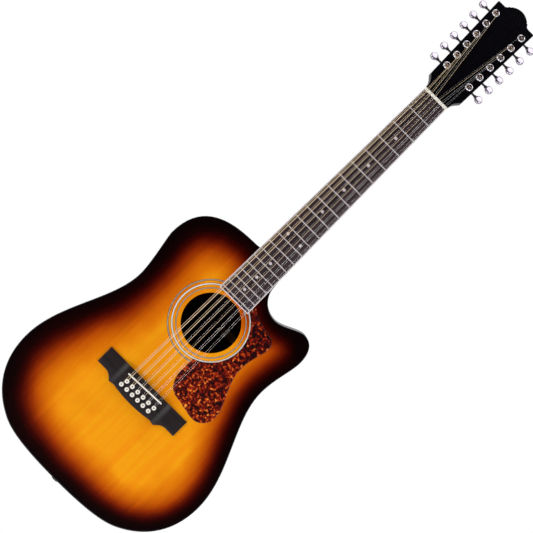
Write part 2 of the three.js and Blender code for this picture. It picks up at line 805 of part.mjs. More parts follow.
function neck() {
  const blank = plate(headOutline(0), 0, headThickness);
  const head = cut(blank, ...bushingHoles(-1, headThickness + 1));
  headGroup.updateMatrix();
  const whole = join(neckShaft(), head.applyMatrix4(headGroup.matrix));
  return cut(whole, trussRodSlot(neckJointZ - 10, trussRodEndZ() + seat));
}

function trussRodEndZ() {
  return nutZ - 8;
}

function trussRod() {
  const half = trussRodWidth / 2;
  const near = frontY + trussRodTop;
  return box(-half, half, near, near + trussRodDepth, neckBlockZ - 3, trussRodEndZ());
}

function fretboard() {
  const far = frontY - glueLine;
  const near = far - fretboardThickness;
  const edge = fretboardBindingWidth + glueLine;
  const end = fretboardEndZ + edge;
  const shape = shapeOf([
    new THREE.Vector2(-(fretboardHalf(end) - edge), end),
    new THREE.Vector2(fretboardHalf(end) - edge, end),
    new THREE.Vector2(nutHalf - edge, nutZ - glueLine),
    new THREE.Vector2(-(nutHalf - edge), nutZ - glueLine),
  ]);
  const frets = Array.from({ length: fretCount }, (_, i) => {
    const z = fretZ(i + 1);
    const half = fretboardHalf(z) - edge - 0.2;
    return box(-half, half, near - fretHeight, near + 1, z - fretWidth / 2, z + fretWidth / 2);
  });
  return join(plate(shape, near, far), ...frets);
}

function fretboardBinding() {
  const far = frontY - glueLine;
  const end = fretboardEndZ;
  const inner = end + fretboardBindingWidth;
  const corners = [
    [fretboardHalf(end), end],
    [nutHalf, nutZ - glueLine],
    [nutHalf - fretboardBindingWidth, nutZ - glueLine],
    [fretboardHalf(inner) - fretboardBindingWidth, inner],
  ];
  const right = corners.map(([x, z]) => new THREE.Vector2(x, z));
  const left = corners.map(([x, z]) => new THREE.Vector2(-x, z)).reverse();
  return plate(shapeOf([...right, ...left]), far - fretboardThickness, far);
}

function nut() {
  const far = frontY - glueLine;
  return box(-nutHalf, nutHalf, frontY - nutHeight, far, nutZ, nutZ + nutThickness);
}

function headstockVeneer() {
  const far = -seat;
  return cut(
    plate(headOutline(seat), far - veneerThickness, far),
    ...bushingHoles(far - veneerThickness - 1, far + 1),
  );
}

// ---- Tuners, in the headstock's frame: y runs back through the headstock ----

const headFaceY = -seat - veneerThickness;

// The gear housing behind the headstock, its threaded bushing and the bushing's front flange.
function tunerHousing(side) {
  const near = headThickness + seat;
  const far = near + housingDepth;
  const chamfer = housingChamfer;
  const right = [
    new THREE.Vector2(housingHalf - chamfer, -housingBelow),
    new THREE.Vector2(housingHalf, -housingBelow + chamfer),
    new THREE.Vector2(housingHalf, housingAbove - chamfer),
    new THREE.Vector2(housingHalf - chamfer, housingAbove),
  ];
  const left = right.map((point) => new THREE.Vector2(-point.x, point.y)).reverse();
  const shape = shapeOf([...right, ...left]);
  const barrel = (radius, from, to, count) =>
    rod(new THREE.Vector3(0, from, 0), new THREE.Vector3(0, to, 0), radius, count);
  const flangeFar = headFaceY - seat;
  const outside = join(
    plate(shape, near, far),
    barrel(bushingRadius, flangeFar - 1, near + 1, 8),
    barrel(flangeRadius, flangeFar - flangeHeight, flangeFar, 10),
  );
  const gearRoom = box(
    -housingHalf + housingWall,
    housingHalf - housingWall,
    near + housingWall,
    far - housingWall,
    -housingBelow + housingWall,
    housingAbove - housingWall,
  );
  const postBore = barrel(bushingBoreRadius, flangeFar - flangeHeight - 1, near + housingWall + 1, 8);
  const shaftY = headThickness + wormDepth;
  const shaftBore = rod(
    new THREE.Vector3(side * (housingHalf - housingWall - 1), shaftY, wormOffset),
    new THREE.Vector3(side * (housingHalf + 1), shaftY, wormOffset),
    buttonShaftRadius + seat,
    6,
  );
  return cut(outside, gearRoom, postBore, shaftBore);
}

// The string post with its worm wheel inside the housing and the string's turns at its top.
function tunerPost() {
  const wheelY = headThickness + wormDepth;
  const bottom = headThickness + housingDepth - housingWall - seat;
  const winding = headFaceY - windingHeight;
  const profile = [
    [0, bottom],
    [wheelHubRadius, bottom],
    [wheelHubRadius, wheelY + wheelHalf],
    [wheelRadius, wheelY + wheelHalf],
    [wheelRadius, wheelY - wheelHalf],
    [postRadius, wheelY - wheelHalf],
    [postRadius, winding + windingHalf],
    [windingRadius, winding + windingHalf],
    [windingRadius, winding - windingHalf],
    [postRadius, winding - windingHalf],
    [postRadius, headFaceY - postTop],
    [0, headFaceY - postTop],
  ];
  return turned(profile, 8);
}

// The button on its shaft with the worm at the inner end, pointing along +X from the post.
function tunerButton() {
  const buttonEdge = buttonFromPost - buttonRadius;
  const profile = [
    [0, -wormHalf],
    [wormRadius, -wormHalf],
    [wormRadius, wormHalf - 0.5],
    [buttonShaftRadius, wormHalf + 0.5],
    [buttonShaftRadius, housingHalf + 1],
    [buttonCollarRadius, housingHalf + 1],
    [buttonCollarRadius, buttonEdge + 2],
    [0, buttonEdge + 2],
  ];
  const shaft = turned(profile, 6).rotateZ(-Math.PI / 2);
  const half = buttonThickness / 2;
  const face = buttonRadius - buttonChamfer;
  const disc = turned(
    [
      [0, -half],
      [face, -half],
      [buttonRadius, -half + buttonChamfer],
      [buttonRadius, half - buttonChamfer],
      [face, half],
      [0, half],
    ],
    10,
  );
  return join(shaft, disc.translate(buttonFromPost, 0, 0));
}

// ---- Strings ----

// Each string's pin, its places over the saddle and the nut, and the post that it winds on.
function strings() {
  const bassPosts = tunersPerSide;
  return stringDiameters.map((diameter, i) => {
    const course = Math.floor(i / 2) - 2.5;
    const inPair = (i % 2) - 0.5;
    const bridgeX = course * courseSpacingAtBridge + inPair * pairSpacingAtBridge;
    const nutX = course * courseSpacingAtNut + inPair * pairSpacingAtNut;
    const pinRow = i % 2 === 0 ? rearPinRow : frontPinRow;
    const onBass = i < bassPosts;
    const post = onBass ? i : stringDiameters.length - 1 - i;
    const place = tunerPlaces()[onBass ? post : tunersPerSide + post];
    return { radius: diameter / 2, bridgeX, nutX, pin: new THREE.Vector2(bridgeX, saddleZ + pinRow), place };
  });
}

// All twelve strings, held together at their ball ends under the bridge plate.
function stringSet() {
  const ballY = topUnderY + 2 * glueLine + bridgePlateThickness + ballRadius;
  const bridgeTop = frontY - glueLine - bridgeHeight;
  const wires = strings().map(({ radius, bridgeX, nutX, pin, place }) => {
    const inner = place.x - place.side * (windingRadius + radius + seat);
    const path = [
      new THREE.Vector3(pin.x, ballY, pin.y + pinFront),
      new THREE.Vector3(pin.x, bridgeTop - radius - seat, pin.y + pinFront),
      new THREE.Vector3(bridgeX, frontY - saddleTopHeight - radius - seat, saddleLineZ(bridgeX)),
      new THREE.Vector3(nutX, frontY - nutHeight - radius - glueLine, headZ + seat),
      new THREE.Vector3(inner, headFaceY - windingHeight, place.z).applyMatrix4(headGroup.matrix),
    ];
    return wire(path, radius);
  });
  const half = 3 * courseSpacingAtBridge;
  const near = ballY - ballRadius + seat;
  const rear = saddleZ + rearPinRow - 2 * ballRadius;
  const front = saddleZ + frontPinRow + 4 * ballRadius;
  return join(box(-half, half, near, near + 2 * ballRadius, rear, front), ...wires);
}

function saddleLineZ(x) {
  return saddleZ + (x * saddleSlant) / saddleLength;
}

// ---- Assembly ----

const finishes = {
  spruce: { color: 0xfdac1e, roughness: 0.25, metalness: 0 },
  sunburst: { color: 0x2a0a04, roughness: 0.2, metalness: 0 },
  innerWood: { color: 0xd9b98a, roughness: 0.7, metalness: 0 },
  neckWood: { color: 0x2a120a, roughness: 0.25, metalness: 0 },
  rosewood: { color: 0x2b211f, roughness: 0.5, metalness: 0 },
  blackPlastic: { color: 0x0a0a0c, roughness: 0.15, metalness: 0 },
  whitePlastic: { color: 0xe9e6dc, roughness: 0.3, metalness: 0 },
  tortoiseshell: { color: 0x5a1408, roughness: 0.15, metalness: 0 },
  bone: { color: 0xeee4cc, roughness: 0.4, metalness: 0 },
  chrome: { color: 0xd8d8dc, roughness: 0.12, metalness: 1 },
  steel: { color: 0x8d8f93, roughness: 0.35, metalness: 1 },
  bronze: { color: 0xb98a4e, roughness: 0.35, metalness: 1 },
};

const guitar = new THREE.Group();
const headGroup = new THREE.Group();
headGroup.position.set(0, frontY, headZ);
headGroup.rotation.x = -headTilt;
headGroup.updateMatrix();
guitar.add(headGroup);

function piece(name, geometry, finish, parent = guitar) {
  const solid = geometryOf(solidOf(geometry)).toNonIndexed();
  solid.computeVertexNormals();
  const mesh = new THREE.Mesh(solid, new THREE.MeshStandardMaterial(finishes[finish]));
  mesh.name = name;
  parent.add(mesh);
  return mesh;
}

piece("soundboard", soundboard(), "spruce");
piece("back", back(), "sunburst");
piece("sides", sides(), "sunburst");
piece("neck_block", neckBlock(), "innerWood");
piece("tail_block", tailBlock(), "innerWood");
piece("top_lining", topLining(), "innerWood");
piece("back_lining", backLining(), "innerWood");
piece("x_brace", xBrace(), "innerWood");
piece("transverse_brace", transverseBrace(), "innerWood");
piece("bridge_plate", bridgePlate(), "innerWood");
piece("back_bracing", backBracing(), "innerWood");
piece("binding_top", topBinding(), "blackPlastic");
piece("binding_back", backBinding(), "blackPlastic");
piece("pickguard", pickguard(), "tortoiseshell");
piece("bridge", bridge(), "rosewood");
piece("saddle", saddle(), "bone");
piece("end_pin", endPin(), "blackPlastic");
piece("neck", neck(), "neckWood");
piece("truss_rod", trussRod(), "steel");
piece("fretboard", fretboard(), "rosewood");
piece("fretboard_binding", fretboardBinding(), "whitePlastic");
piece("nut", nut(), "bone");
piece("headstock_veneer", headstockVeneer(), "blackPlastic", headGroup);
piece("strings", stringSet(), "bronze");

for (const { name, side, x, z } of tunerPlaces()) {
  const housing = piece("tuner_housing_" + name, tunerHousing(side), "chrome", headGroup);
  housing.position.set(x, 0, z);
  const post = piece("tuner_post_" + name, tunerPost(), "chrome", headGroup);
  post.position.set(x, 0, z);
  const button = piece("tuner_button_" + name, tunerButton(), "chrome", headGroup);
  button.position.set(x, headThickness + wormDepth, z + wormOffset);
  button.rotation.z = side < 0 ? Math.PI : 0;
}

export default guitar;
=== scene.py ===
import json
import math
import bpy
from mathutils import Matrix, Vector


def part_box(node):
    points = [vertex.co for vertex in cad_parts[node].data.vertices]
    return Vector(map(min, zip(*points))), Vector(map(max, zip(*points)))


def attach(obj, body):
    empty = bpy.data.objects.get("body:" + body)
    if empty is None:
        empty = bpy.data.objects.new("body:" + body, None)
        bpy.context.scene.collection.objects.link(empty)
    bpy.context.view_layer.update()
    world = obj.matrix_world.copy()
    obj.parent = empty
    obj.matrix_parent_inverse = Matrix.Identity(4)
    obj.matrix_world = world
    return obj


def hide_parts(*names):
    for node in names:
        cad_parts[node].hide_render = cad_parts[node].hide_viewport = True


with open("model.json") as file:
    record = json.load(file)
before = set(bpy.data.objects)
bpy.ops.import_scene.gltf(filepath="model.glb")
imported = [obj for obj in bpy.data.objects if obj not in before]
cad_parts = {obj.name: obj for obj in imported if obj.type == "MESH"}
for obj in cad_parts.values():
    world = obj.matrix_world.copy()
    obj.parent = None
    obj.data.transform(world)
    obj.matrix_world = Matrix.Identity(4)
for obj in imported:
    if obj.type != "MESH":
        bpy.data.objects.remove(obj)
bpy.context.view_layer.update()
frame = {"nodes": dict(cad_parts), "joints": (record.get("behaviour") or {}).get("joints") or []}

# A twelve-string acoustic guitar with a sunburst top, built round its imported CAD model.
#
# Sizes are in millimetres in the CAD model's frame: +Z runs up the neck, the soundboard faces -Y
# and the treble side is +X. add_piece turns them into Blender's metres.

from types import SimpleNamespace

import bmesh
import bpy
import numpy as np
from mathutils import Matrix, Vector

MM = 0.001
shift = Matrix.Translation


def box_mm(node):
    """The lowest and highest corners of a CAD node, in millimetres."""
    low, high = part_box(node)
    return low / MM, high / MM


# ---- Places, from the frame ----
FRONT_Y = box_mm("soundboard")[0].y
TAIL_Z = box_mm("binding_top")[0].z
JOINT_Z = box_mm("binding_top")[1].z
BACK_TAIL_Y = -FRONT_Y
NUT_Z = box_mm("nut")[0].z
HEAD_Z = box_mm("nut")[1].z
NUT_HALF = box_mm("nut")[1].x
SADDLE_Z = sum(corner.z for corner in box_mm("saddle")) / 2
SADDLE_TOP_Y = box_mm("saddle")[0].y
BRIDGE_TOP_Y = box_mm("bridge")[0].y
FRETBOARD_END_Z = box_mm("fretboard_binding")[0].z
FRETBOARD_END_HALF = box_mm("fretboard_binding")[1].x
FRETBOARD_TOP_Y = box_mm("fretboard_binding")[0].y
PICKGUARD_TOP_Y = box_mm("pickguard")[0].y
JOINTS = {joint["name"]: joint for joint in frame["joints"]}

# ---- Body ----
BODY_LENGTH = JOINT_Z - TAIL_Z
LOWER_BOUT_HALF = 193.8
LOWER_BOUT_AT = 129.7
WAIST_HALF = 134.7
WAIST_AT = 328.4
UPPER_BOUT_HALF = 146.2
UPPER_BOUT_AT = 409
HORN_HALF = 145.4
HORN_AT = 405.9
NECK_CORNER_HALF = 28.5
OUTLINE_STEPS = 24
BACK_TAPER = 18
BACK_ARCH = 6.6
BACK_CROSS_RADIUS = 4570
PLATE_THICKNESS = 3
SIDE_THICKNESS = 2.3
BINDING_WIDTH = 2
BINDING_DEPTH = 6
BINDING_ROUND = 1.3
GAP = 0.1
GLUE_LINE = 0.02  # between two glued faces
FOOT_Y = FRONT_Y - GLUE_LINE
SOUNDHOLE_Z = SADDLE_Z + 147.2
SOUNDHOLE_RADIUS = 48.2
SPRAY_WIDTH = 30  # how far the dark lacquer spreads in from the edge
SPRAY_LEAN = 0.2  # the share by which it is wider on the bass side and narrower on the treble side
SIDE_SPRAY = 0.62  # how dark the sides are all over, from 0 to 1

# Rosette rings: radius at the middle, and the widths of the dark, light and dark lines.
ROSETTE = {"inner": (55.8, 0.8, 0.5, 0.8), "middle": (62.2, 0.6, 2.0, 0.6), "outer": (68.8, 1.0, 0.5, 1.0)}

# ---- Bridge ----
BRIDGE_HALF = 84.4
BRIDGE_FRONT = 9
BRIDGE_WING_REAR = -22.1
BRIDGE_BELLY_REAR = -33.7
BRIDGE_WING_HEIGHT = 3.5
BRIDGE_FLAT_HALF = 42
BRIDGE_SLOPE_END = 54
BRIDGE_WING_INNER = 68
BRIDGE_CORNER_HALF = 49.7
BRIDGE_CORNER_REAR = BRIDGE_BELLY_REAR + 1.5
BRIDGE_BELLY_HALF = 40.2
BRIDGE_BELLY_SAG = 3.6
BRIDGE_END_EASE = 0.9
SADDLE_LENGTH = 71.5
SADDLE_WIDTH = 2.6
SADDLE_SLANT = 2.8
SADDLE_CROWN = 0.6
REAR_PIN_ROW = -21.1
FRONT_PIN_ROW = -11.6
PIN_HEAD_RADIUS = 3.75

# ---- Neck ----
SCALE_LENGTH = NUT_Z - SADDLE_Z
FRET_COUNT = 20
FRETBOARD_CROWN = 406
FRETBOARD_BINDING = 1.6
FRET_HALF_WIDTH = 1.0
FRET_HEIGHT = 1.07
DOT_RADIUS = 2.6
DOT_FRETS = (3, 5, 7, 9, 12, 15, 17, 19)
DOUBLE_DOT_FRET = 12
DOUBLE_DOT_HALF = 13.5
HEEL_DEPTH = 133
HEEL_CAP_LENGTH = 8
HEEL_LENGTH = 90
SHAFT_DEPTH_HEEL = 17.5
SHAFT_DEPTH_NUT = 15.5
THROAT_LENGTH = 14
NUT_HEIGHT = 8.4
NUT_SLOT_HEIGHT = 7.7

# ---- Headstock ----
HEAD_THICKNESS = 14.5
VENEER_FRONT = -1.8
HEAD_LENGTH = 205.5
HEAD_THROAT_HALF = 24
HEAD_LOWER_HALF = 34.3
HEAD_LOWER_AT = 22.8
HEAD_UPPER_HALF = 39.7
HEAD_UPPER_AT = 189.5

# ---- Tuners, from each post's axis ----
POST_RADIUS = 3
POST_TOP = -11.3
WINDING_Y = -6.8
FERRULE_RADIUS = 6.5
HOUSING_HALF = 7.5
HOUSING_FRONT = 14.8
HOUSING_BACK = 26.6
BUTTON_RADIUS = 6.8
BUTTON_HALF = 3.25
BUTTON_FROM_POST = 25
BUTTON_TURN = math.radians(15)  # how far each button is turned about its shaft, its face upward

# ---- Strings, bass to treble ----
STRING_DIAMETERS = (0.69, 1.19, 0.46, 0.99, 0.3, 0.76, 0.2, 0.58, 0.36, 0.36, 0.25, 0.25)
THINNEST_WOUND = 0.4
COURSE_AT_BRIDGE = 12
COURSE_AT_NUT = 7.74
PAIR_AT_BRIDGE = 3.1
PAIR_AT_NUT = 2.6
STRING_TURNS = 2.5

# ---- Studio ----
CAMERA_PLACE = Vector((-0.0011, -3.15, 0.4865))
CAMERA_ROLL = math.atan2(0.7077, 0.7065)
LENS = 131.5
FLOOR_DROP = 1.2
FLOOR_RADIUS = 5


# ==== Curves in a plane ====

def mix(a, b, share):
    return a + (b - a) * share


def evenly(start, end, steps):
    """Values or points from one to another, both included."""
    return [mix(start, end, step / steps) for step in range(steps + 1)]


def bezier(start, first, second, end, steps):
    """Points along a cubic curve, without its last one."""
    corners = [Vector(corner) for corner in (start, first, second, end)]
    points = []
    for step in range(steps):
        t = step / steps
        weights = ((1 - t) ** 3, 3 * t * (1 - t) ** 2, 3 * t * t * (1 - t), t**3)
        points.append(sum((corner * weight for corner, weight in zip(corners, weights)), Vector((0, 0))))
    return points


def bow(start, control, end, steps):
    """Points along a quadratic curve, without its last one."""
    start, control, end = Vector(start), Vector(control), Vector(end)
    return bezier(start, mix(start, control, 2 / 3), mix(end, control, 2 / 3), end, steps)


def arc(centre, radius, start, end, steps):
    x, z = centre
    angles = evenly(start, end, steps)
    return [Vector((x + radius * math.cos(a), z + radius * math.sin(a))) for a in angles]


def around(count):
    """The angles of evenly spaced points on a circle."""
    return [2 * math.pi * i / count for i in range(count)]


def box_corners(left, low, right, high):
    return [(left, low), (right, low), (right, high), (left, high)]


def rounded(corners, radii, steps=4):
    """A polygon with each corner turned into a curve of its own radius."""
    points = []
    for i, (corner, radius) in enumerate(zip(corners, radii)):
        corner = Vector(corner)
        if not radius:
            points.append(corner)
            continue
        before = (Vector(corners[i - 1]) - corner).normalized() * radius
        after = (Vector(corners[(i + 1) % len(corners)]) - corner).normalized() * radius
        points += bow(corner + before, corner, corner + after, steps) + [corner + after]
    return points


# ==== Solids, as points and faces ====

def loft(sections, closed=False):
    """Faces between closed sections, joined one to the next, end to end or back to the first."""
    around = len(sections[0])
    points = [point for section in sections for point in section]
    faces = []
    for span in range(len(sections) if closed else len(sections) - 1):
        here = span * around
        there = (span + 1) % len(sections) * around
        for side in range(around):
            step = (side + 1) % around
            faces.append((here + side, here + step, there + step, there + side))
    if not closed:
        faces.append(tuple(reversed(range(around))))
        faces.append(tuple(range(len(points) - around, len(points))))
    return points, faces


def at_depth(outline, y):
    """An outline drawn in x and z, as points at one y."""
    return [Vector((p.x, y, p.y)) for p in outline]


def plate(outline, near, far):
    """A flat plate drawn in x and z, from one y to another."""
    return loft([at_depth(outline, y) for y in (near, far)])


def turned(profile, segments=32):
    """A solid turned round the Y axis, from pairs of radius and y that start and end on the axis."""
    angles = around(segments)
    return loft([[Vector((r * math.cos(a), y, r * math.sin(a))) for a in angles] for r, y in profile])


def turned_ring(profile, segments=48):
    """A ring turned round the Y axis, from a closed profile of radius and y."""
    angles = around(segments)
    sections = [[Vector((r * math.cos(a), y, r * math.sin(a))) for r, y in profile] for a in angles]
    return loft(sections, closed=True)


def tube(path, radius, sides):
    """A round wire along a path, its sections turned as little as possible from one to the next."""
    sections = []
    across = None
    for i, point in enumerate(path):
        heading = (path[min(i + 1, len(path) - 1)] - path[max(i - 1, 0)]).normalized()
        if across is None:
            across = heading.orthogonal()
        across = (across - heading * across.dot(heading)).normalized()
        away = heading.cross(across)
        ring = [across * math.cos(a) + away * math.sin(a) for a in around(sides)]
        sections.append([point + direction * radius for direction in ring])
    return loft(sections)


def joined(*shapes):
    """Several solids as one piece."""
    points, faces = [], []
    for more_points, more_faces in shapes:
        start = len(points)
        points += more_points
        faces += [tuple(start + corner for corner in face) for face in more_faces]
    return points, faces


def moved(shape, place):
    points, faces = shape
    return [place @ point for point in points], faces


def add_piece(name, shape, material, slot, stands_for=(), body="guitar", edge=0.0, sharp=40):
    """Makes one visible piece, riding on a CAD body in place of the CAD nodes it stands for."""
    points, faces = shape
    mesh = bpy.data.meshes.new(name)
    mesh.from_pydata([tuple(point * MM) for point in points], [], faces)
    shell = bmesh.new()
    shell.from_mesh(mesh)
    bmesh.ops.remove_doubles(shell, verts=shell.verts, dist=0.001 * MM)
    bmesh.ops.recalc_face_normals(shell, faces=shell.faces)
    shell.to_mesh(mesh)
    shell.free()
    mesh.shade_smooth()
    mesh.set_sharp_from_angle(angle=math.radians(sharp))
    piece = bpy.data.objects.new(name, mesh)
    bpy.context.scene.collection.objects.link(piece)
    mesh.materials.append(material)
    if edge:
        soften = piece.modifiers.new("soft_edges", "BEVEL")
        soften.width = edge * MM
        soften.segments = 3
        soften.limit_method = "ANGLE"
        soften.angle_limit = math.radians(sharp)
    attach(piece, body)
    if stands_for:
        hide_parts(*stands_for)
    return piece


# ==== Materials ====

def srgb(red, green, blue):
    """A colour from its 8-bit display values."""
    def linear(value):
        value /= 255
        return value / 12.92 if value <= 0.04045 else ((value + 0.055) / 1.055) ** 2.4
    return (linear(red), linear(green), linear(blue), 1)


def grey(value):
    return (value, value, value, 1)


def dimmed(colour, share):
    return tuple(value * share for value in colour[:3]) + (1,)


class Nodes:
    """A node tree, with short ways to add to it."""

    def __init__(self, tree):
        self.tree = tree

    def feed(self, sockets, *values):
        """Links each socket to its value, or sets it."""
        for socket, value in zip(sockets, values):
            if isinstance(value, bpy.types.NodeSocket):
                self.tree.links.new(value, socket)
            else:
                socket.default_value = value

    def node(self, kind, settings=None, **inputs):
        """A shader node; an underscore in an input's name stands for a space."""
        item = self.tree.nodes.new("ShaderNode" + kind)
        for key, value in (settings or {}).items():
            setattr(item, key, value)
        self.feed([item.inputs[key.replace("_", " ")] for key in inputs], *inputs.values())
        return item

    def stretch(self, value, low, high, new_low, new_high):
        limits = {"From_Min": low, "From_Max": high, "To_Min": new_low, "To_Max": new_high}
        return self.node("MapRange", Value=value, **limits).outputs["Result"]


class Finish(Nodes):
    """A material, with short ways to build its look."""

    def __init__(self, name, roughness, metallic=0, coat=0, specular=0.5):
        self.material = bpy.data.materials.new(name)
        self.material.use_nodes = True
        super().__init__(self.material.node_tree)
        self.surface = self.tree.nodes["Principled BSDF"].inputs
        self.surface["Roughness"].default_value = roughness
        self.surface["Metallic"].default_value = metallic
        self.surface["Coat Weight"].default_value = coat
        self.surface["Coat Roughness"].default_value = 0.04
        self.surface["Specular IOR Level"].default_value = specular

    def place(self, scale=(1, 1, 1)):
        """Object coordinates, stretched."""
        source = self.node("TexCoord").outputs["Object"]
        return self.node("Mapping", Vector=source, Scale=scale).outputs["Vector"]

    def noise(self, size, detail=3, stretch=(1, 1, 1), roughness=0.5, distortion=0):
        """Soft noise, size in millimetres across the grain."""
        shape = {"Detail": detail, "Roughness": roughness, "Distortion": distortion}
        item = self.node("TexNoise", Vector=self.place(stretch), Scale=1 / (size * MM), **shape)
        return item.outputs["Fac"]

    def ramp(self, value, *stops):
        """Colours along a value, from pairs of place and colour."""
        item = self.node("ValToRGB", Fac=value)
        band = item.color_ramp
        while len(band.elements) < len(stops):
            band.elements.new(0.5)
        for element, (place, colour) in zip(band.elements, stops):
            element.position = place
            element.color = colour
        return item.outputs["Color"]

    def overlay(self, share, first, second):
        item = self.node("Mix", {"data_type": "RGBA", "blend_type": "OVERLAY"})
        self.feed((item.inputs[0], item.inputs[6], item.inputs[7]), share, first, second)
        return item.outputs[2]

    def math(self, operation, first, second):
        item = self.node("Math", {"operation": operation})
        self.feed(item.inputs, first, second)
        return item.outputs[0]

    def bump(self, height, depth):
        """Relief, depth in millimetres."""
        item = self.node("Bump", Height=height, Distance=depth * MM)
        self.feed([self.surface["Normal"]], item.outputs["Normal"])

    def colour(self, value):
        self.feed([self.surface["Base Color"]], value)

    def roughness(self, value):
        self.feed([self.surface["Roughness"]], value)


ALONG_GRAIN = (1, 1, 0.02)


def sunburst(name, stops):
    """Lacquered wood, darkened by how much spray landed: the mesh holds that as its burst values."""
    finish = Finish(name, 0.24, coat=0.12, specular=0.12)
    burst = finish.node("Attribute", {"attribute_name": "burst"}).outputs["Fac"]
    for size, drift in ((70, 0.035), (1.6, 0.015)):
        cloud = finish.noise(size, detail=2)
        burst = finish.math("ADD", burst, finish.stretch(cloud, 0.3, 0.7, -drift, drift))
    colour = finish.ramp(burst, *stops)
    fine_lines = finish.noise(1.1, detail=4, stretch=ALONG_GRAIN)
    broad_streaks = finish.noise(9, stretch=ALONG_GRAIN)
    silk_across = finish.noise(2.5, stretch=(0.25, 1, 1))
    for share, layer, low, high in (
        (0.5, fine_lines, (0.35, grey(0.4)), (0.6, grey(0.5))),
        (0.7, broad_streaks, (0.3, grey(0.42)), (0.7, grey(0.56))),
        (0.4, silk_across, (0.45, grey(0.5)), (0.75, grey(0.55))),
    ):
        colour = finish.overlay(share, colour, finish.ramp(layer, low, high))
    finish.colour(colour)
    finish.bump(finish.noise(0.9, stretch=ALONG_GRAIN), 0.01)
    return finish.material


def wood(name, dark, light, roughness, coat=0.0, grain=1.4, specular=0.4, stretch=ALONG_GRAIN):
    """Straight-grained wood in two tones, with fine open pores."""
    finish = Finish(name, roughness, coat=coat, specular=specular)
    bands = finish.noise(grain * 6, detail=4, stretch=stretch, distortion=0.6)
    lines = finish.noise(grain, detail=5, stretch=stretch, roughness=0.65)
    value = finish.math("ADD", finish.math("MULTIPLY", bands, 0.6), finish.math("MULTIPLY", lines, 0.4))
    finish.colour(finish.ramp(value, (0.36, dark), (0.64, light)))
    pores = finish.noise(grain * 0.6, detail=2, stretch=stretch)
    finish.bump(finish.ramp(pores, (0.3, grey(0)), (0.45, grey(1))), 0.02)
    finish.roughness(finish.stretch(lines, 0.3, 0.7, roughness - 0.06, roughness + 0.06))
    return finish.material


def plastic(name, colour, roughness, mottle=0.12, size=14, coat=0.0, specular=0.5):
    """Moulded or polished plastic, with faint mottling and fine scuffs."""
    finish = Finish(name, roughness, coat=coat, specular=specular)
    patches = finish.noise(size, detail=5)
    finish.colour(finish.ramp(patches, (0.3, dimmed(colour, 1 - mottle)), (0.7, colour)))
    scuffs = finish.noise(3, detail=6, stretch=(1, 1, 0.3))
    finish.roughness(finish.stretch(scuffs, 0.3, 0.75, roughness * 0.8, roughness * 1.3))
    finish.bump(finish.noise(5, detail=2), 0.004)
    return finish.material


def tortoiseshell():
    """Dark red-brown celluloid with amber and orange flakes at several depths."""
    finish = Finish("tortoiseshell", 0.3, coat=0.5, specular=0.3)
    warp = finish.node("TexNoise", Vector=finish.place(), Scale=1 / (9 * MM), Detail=3.0)
    warped = finish.node("VectorMath", {"operation": "MULTIPLY_ADD"})
    finish.feed(warped.inputs, warp.outputs["Color"], [7 * MM] * 3, finish.place())
    places = warped.outputs[0]
    flakes = finish.node("TexVoronoi", Vector=places, Scale=1 / (3.6 * MM), Randomness=1.0)
    fleck = finish.node("SeparateColor", Color=flakes.outputs["Color"]).outputs[0]
    cloud = finish.node("TexNoise", Vector=places, Scale=1 / (3.4 * MM), Detail=5.0).outputs["Fac"]
    value = finish.math("ADD", finish.math("MULTIPLY", fleck, 0.34), finish.math("MULTIPLY", cloud, 0.82))
    value = finish.math("ADD", value, finish.math("MULTIPLY", flakes.outputs["Distance"], -0.16))
    # The guard's colour darkens towards its neck end, by height alone.
    height = finish.node("SeparateXYZ", Vector=finish.place()).outputs["Z"]
    darker_up_the_guard = finish.stretch(height, (SADDLE_Z + 80) * MM, (SADDLE_Z + 190) * MM, 0, -0.06)
    colour = finish.ramp(
        finish.math("ADD", value, darker_up_the_guard),
        (0.36, srgb(24, 3, 6)),
        (0.47, srgb(76, 7, 6)),
        (0.57, srgb(138, 24, 7)),
        (0.66, srgb(198, 70, 18)),
        (0.78, srgb(253, 160, 60)),
    )
    finish.colour(colour)
    return finish.material


def pearl(name, colour):
    """Mother-of-pearl or satin pearl plastic: pale patches that shift in tone."""
    finish = Finish(name, 0.25, coat=0.4)
    patches = finish.noise(2.2, detail=4, distortion=1.5)
    finish.colour(finish.ramp(patches, (0.35, dimmed(colour, 0.8)), (0.65, colour)))
    finish.bump(finish.noise(1.2), 0.01)
    return finish.material


def metal(name, colour, roughness, size=2.0, stretch=(1, 1, 1)):
    """Plated or drawn metal, with fine marks in its polish."""
    finish = Finish(name, roughness, metallic=1)
    clouds = finish.noise(size * 3, detail=3)
    finish.colour(finish.ramp(clouds, (0.35, dimmed(colour, 0.86)), (0.6, colour)))
    marks = finish.noise(size, detail=6, stretch=stretch)
    finish.roughness(finish.stretch(marks, 0.3, 0.7, roughness * 0.75, roughness * 1.35))
    finish.bump(marks, 0.002)
    return finish.material


def wound_wire(name, colour, pitch):
    """Fine wire wound tight round a core: ridges across the string, with painted shade in the grooves
    between them.
    """
    finish = Finish(name, 0.34, metallic=1)
    scale = 0.05 / (pitch * MM)
    wave = finish.node("TexWave", {"bands_direction": "Z"}, Vector=finish.place(), Scale=scale)
    ridges = wave.outputs["Fac"]
    # Painted shade: the colour darkens in the grooves between the ridges.
    finish.colour(finish.ramp(ridges, (0.1, dimmed(colour, 0.6)), (0.6, colour)))
    finish.bump(ridges, 0.04)
    return finish.material


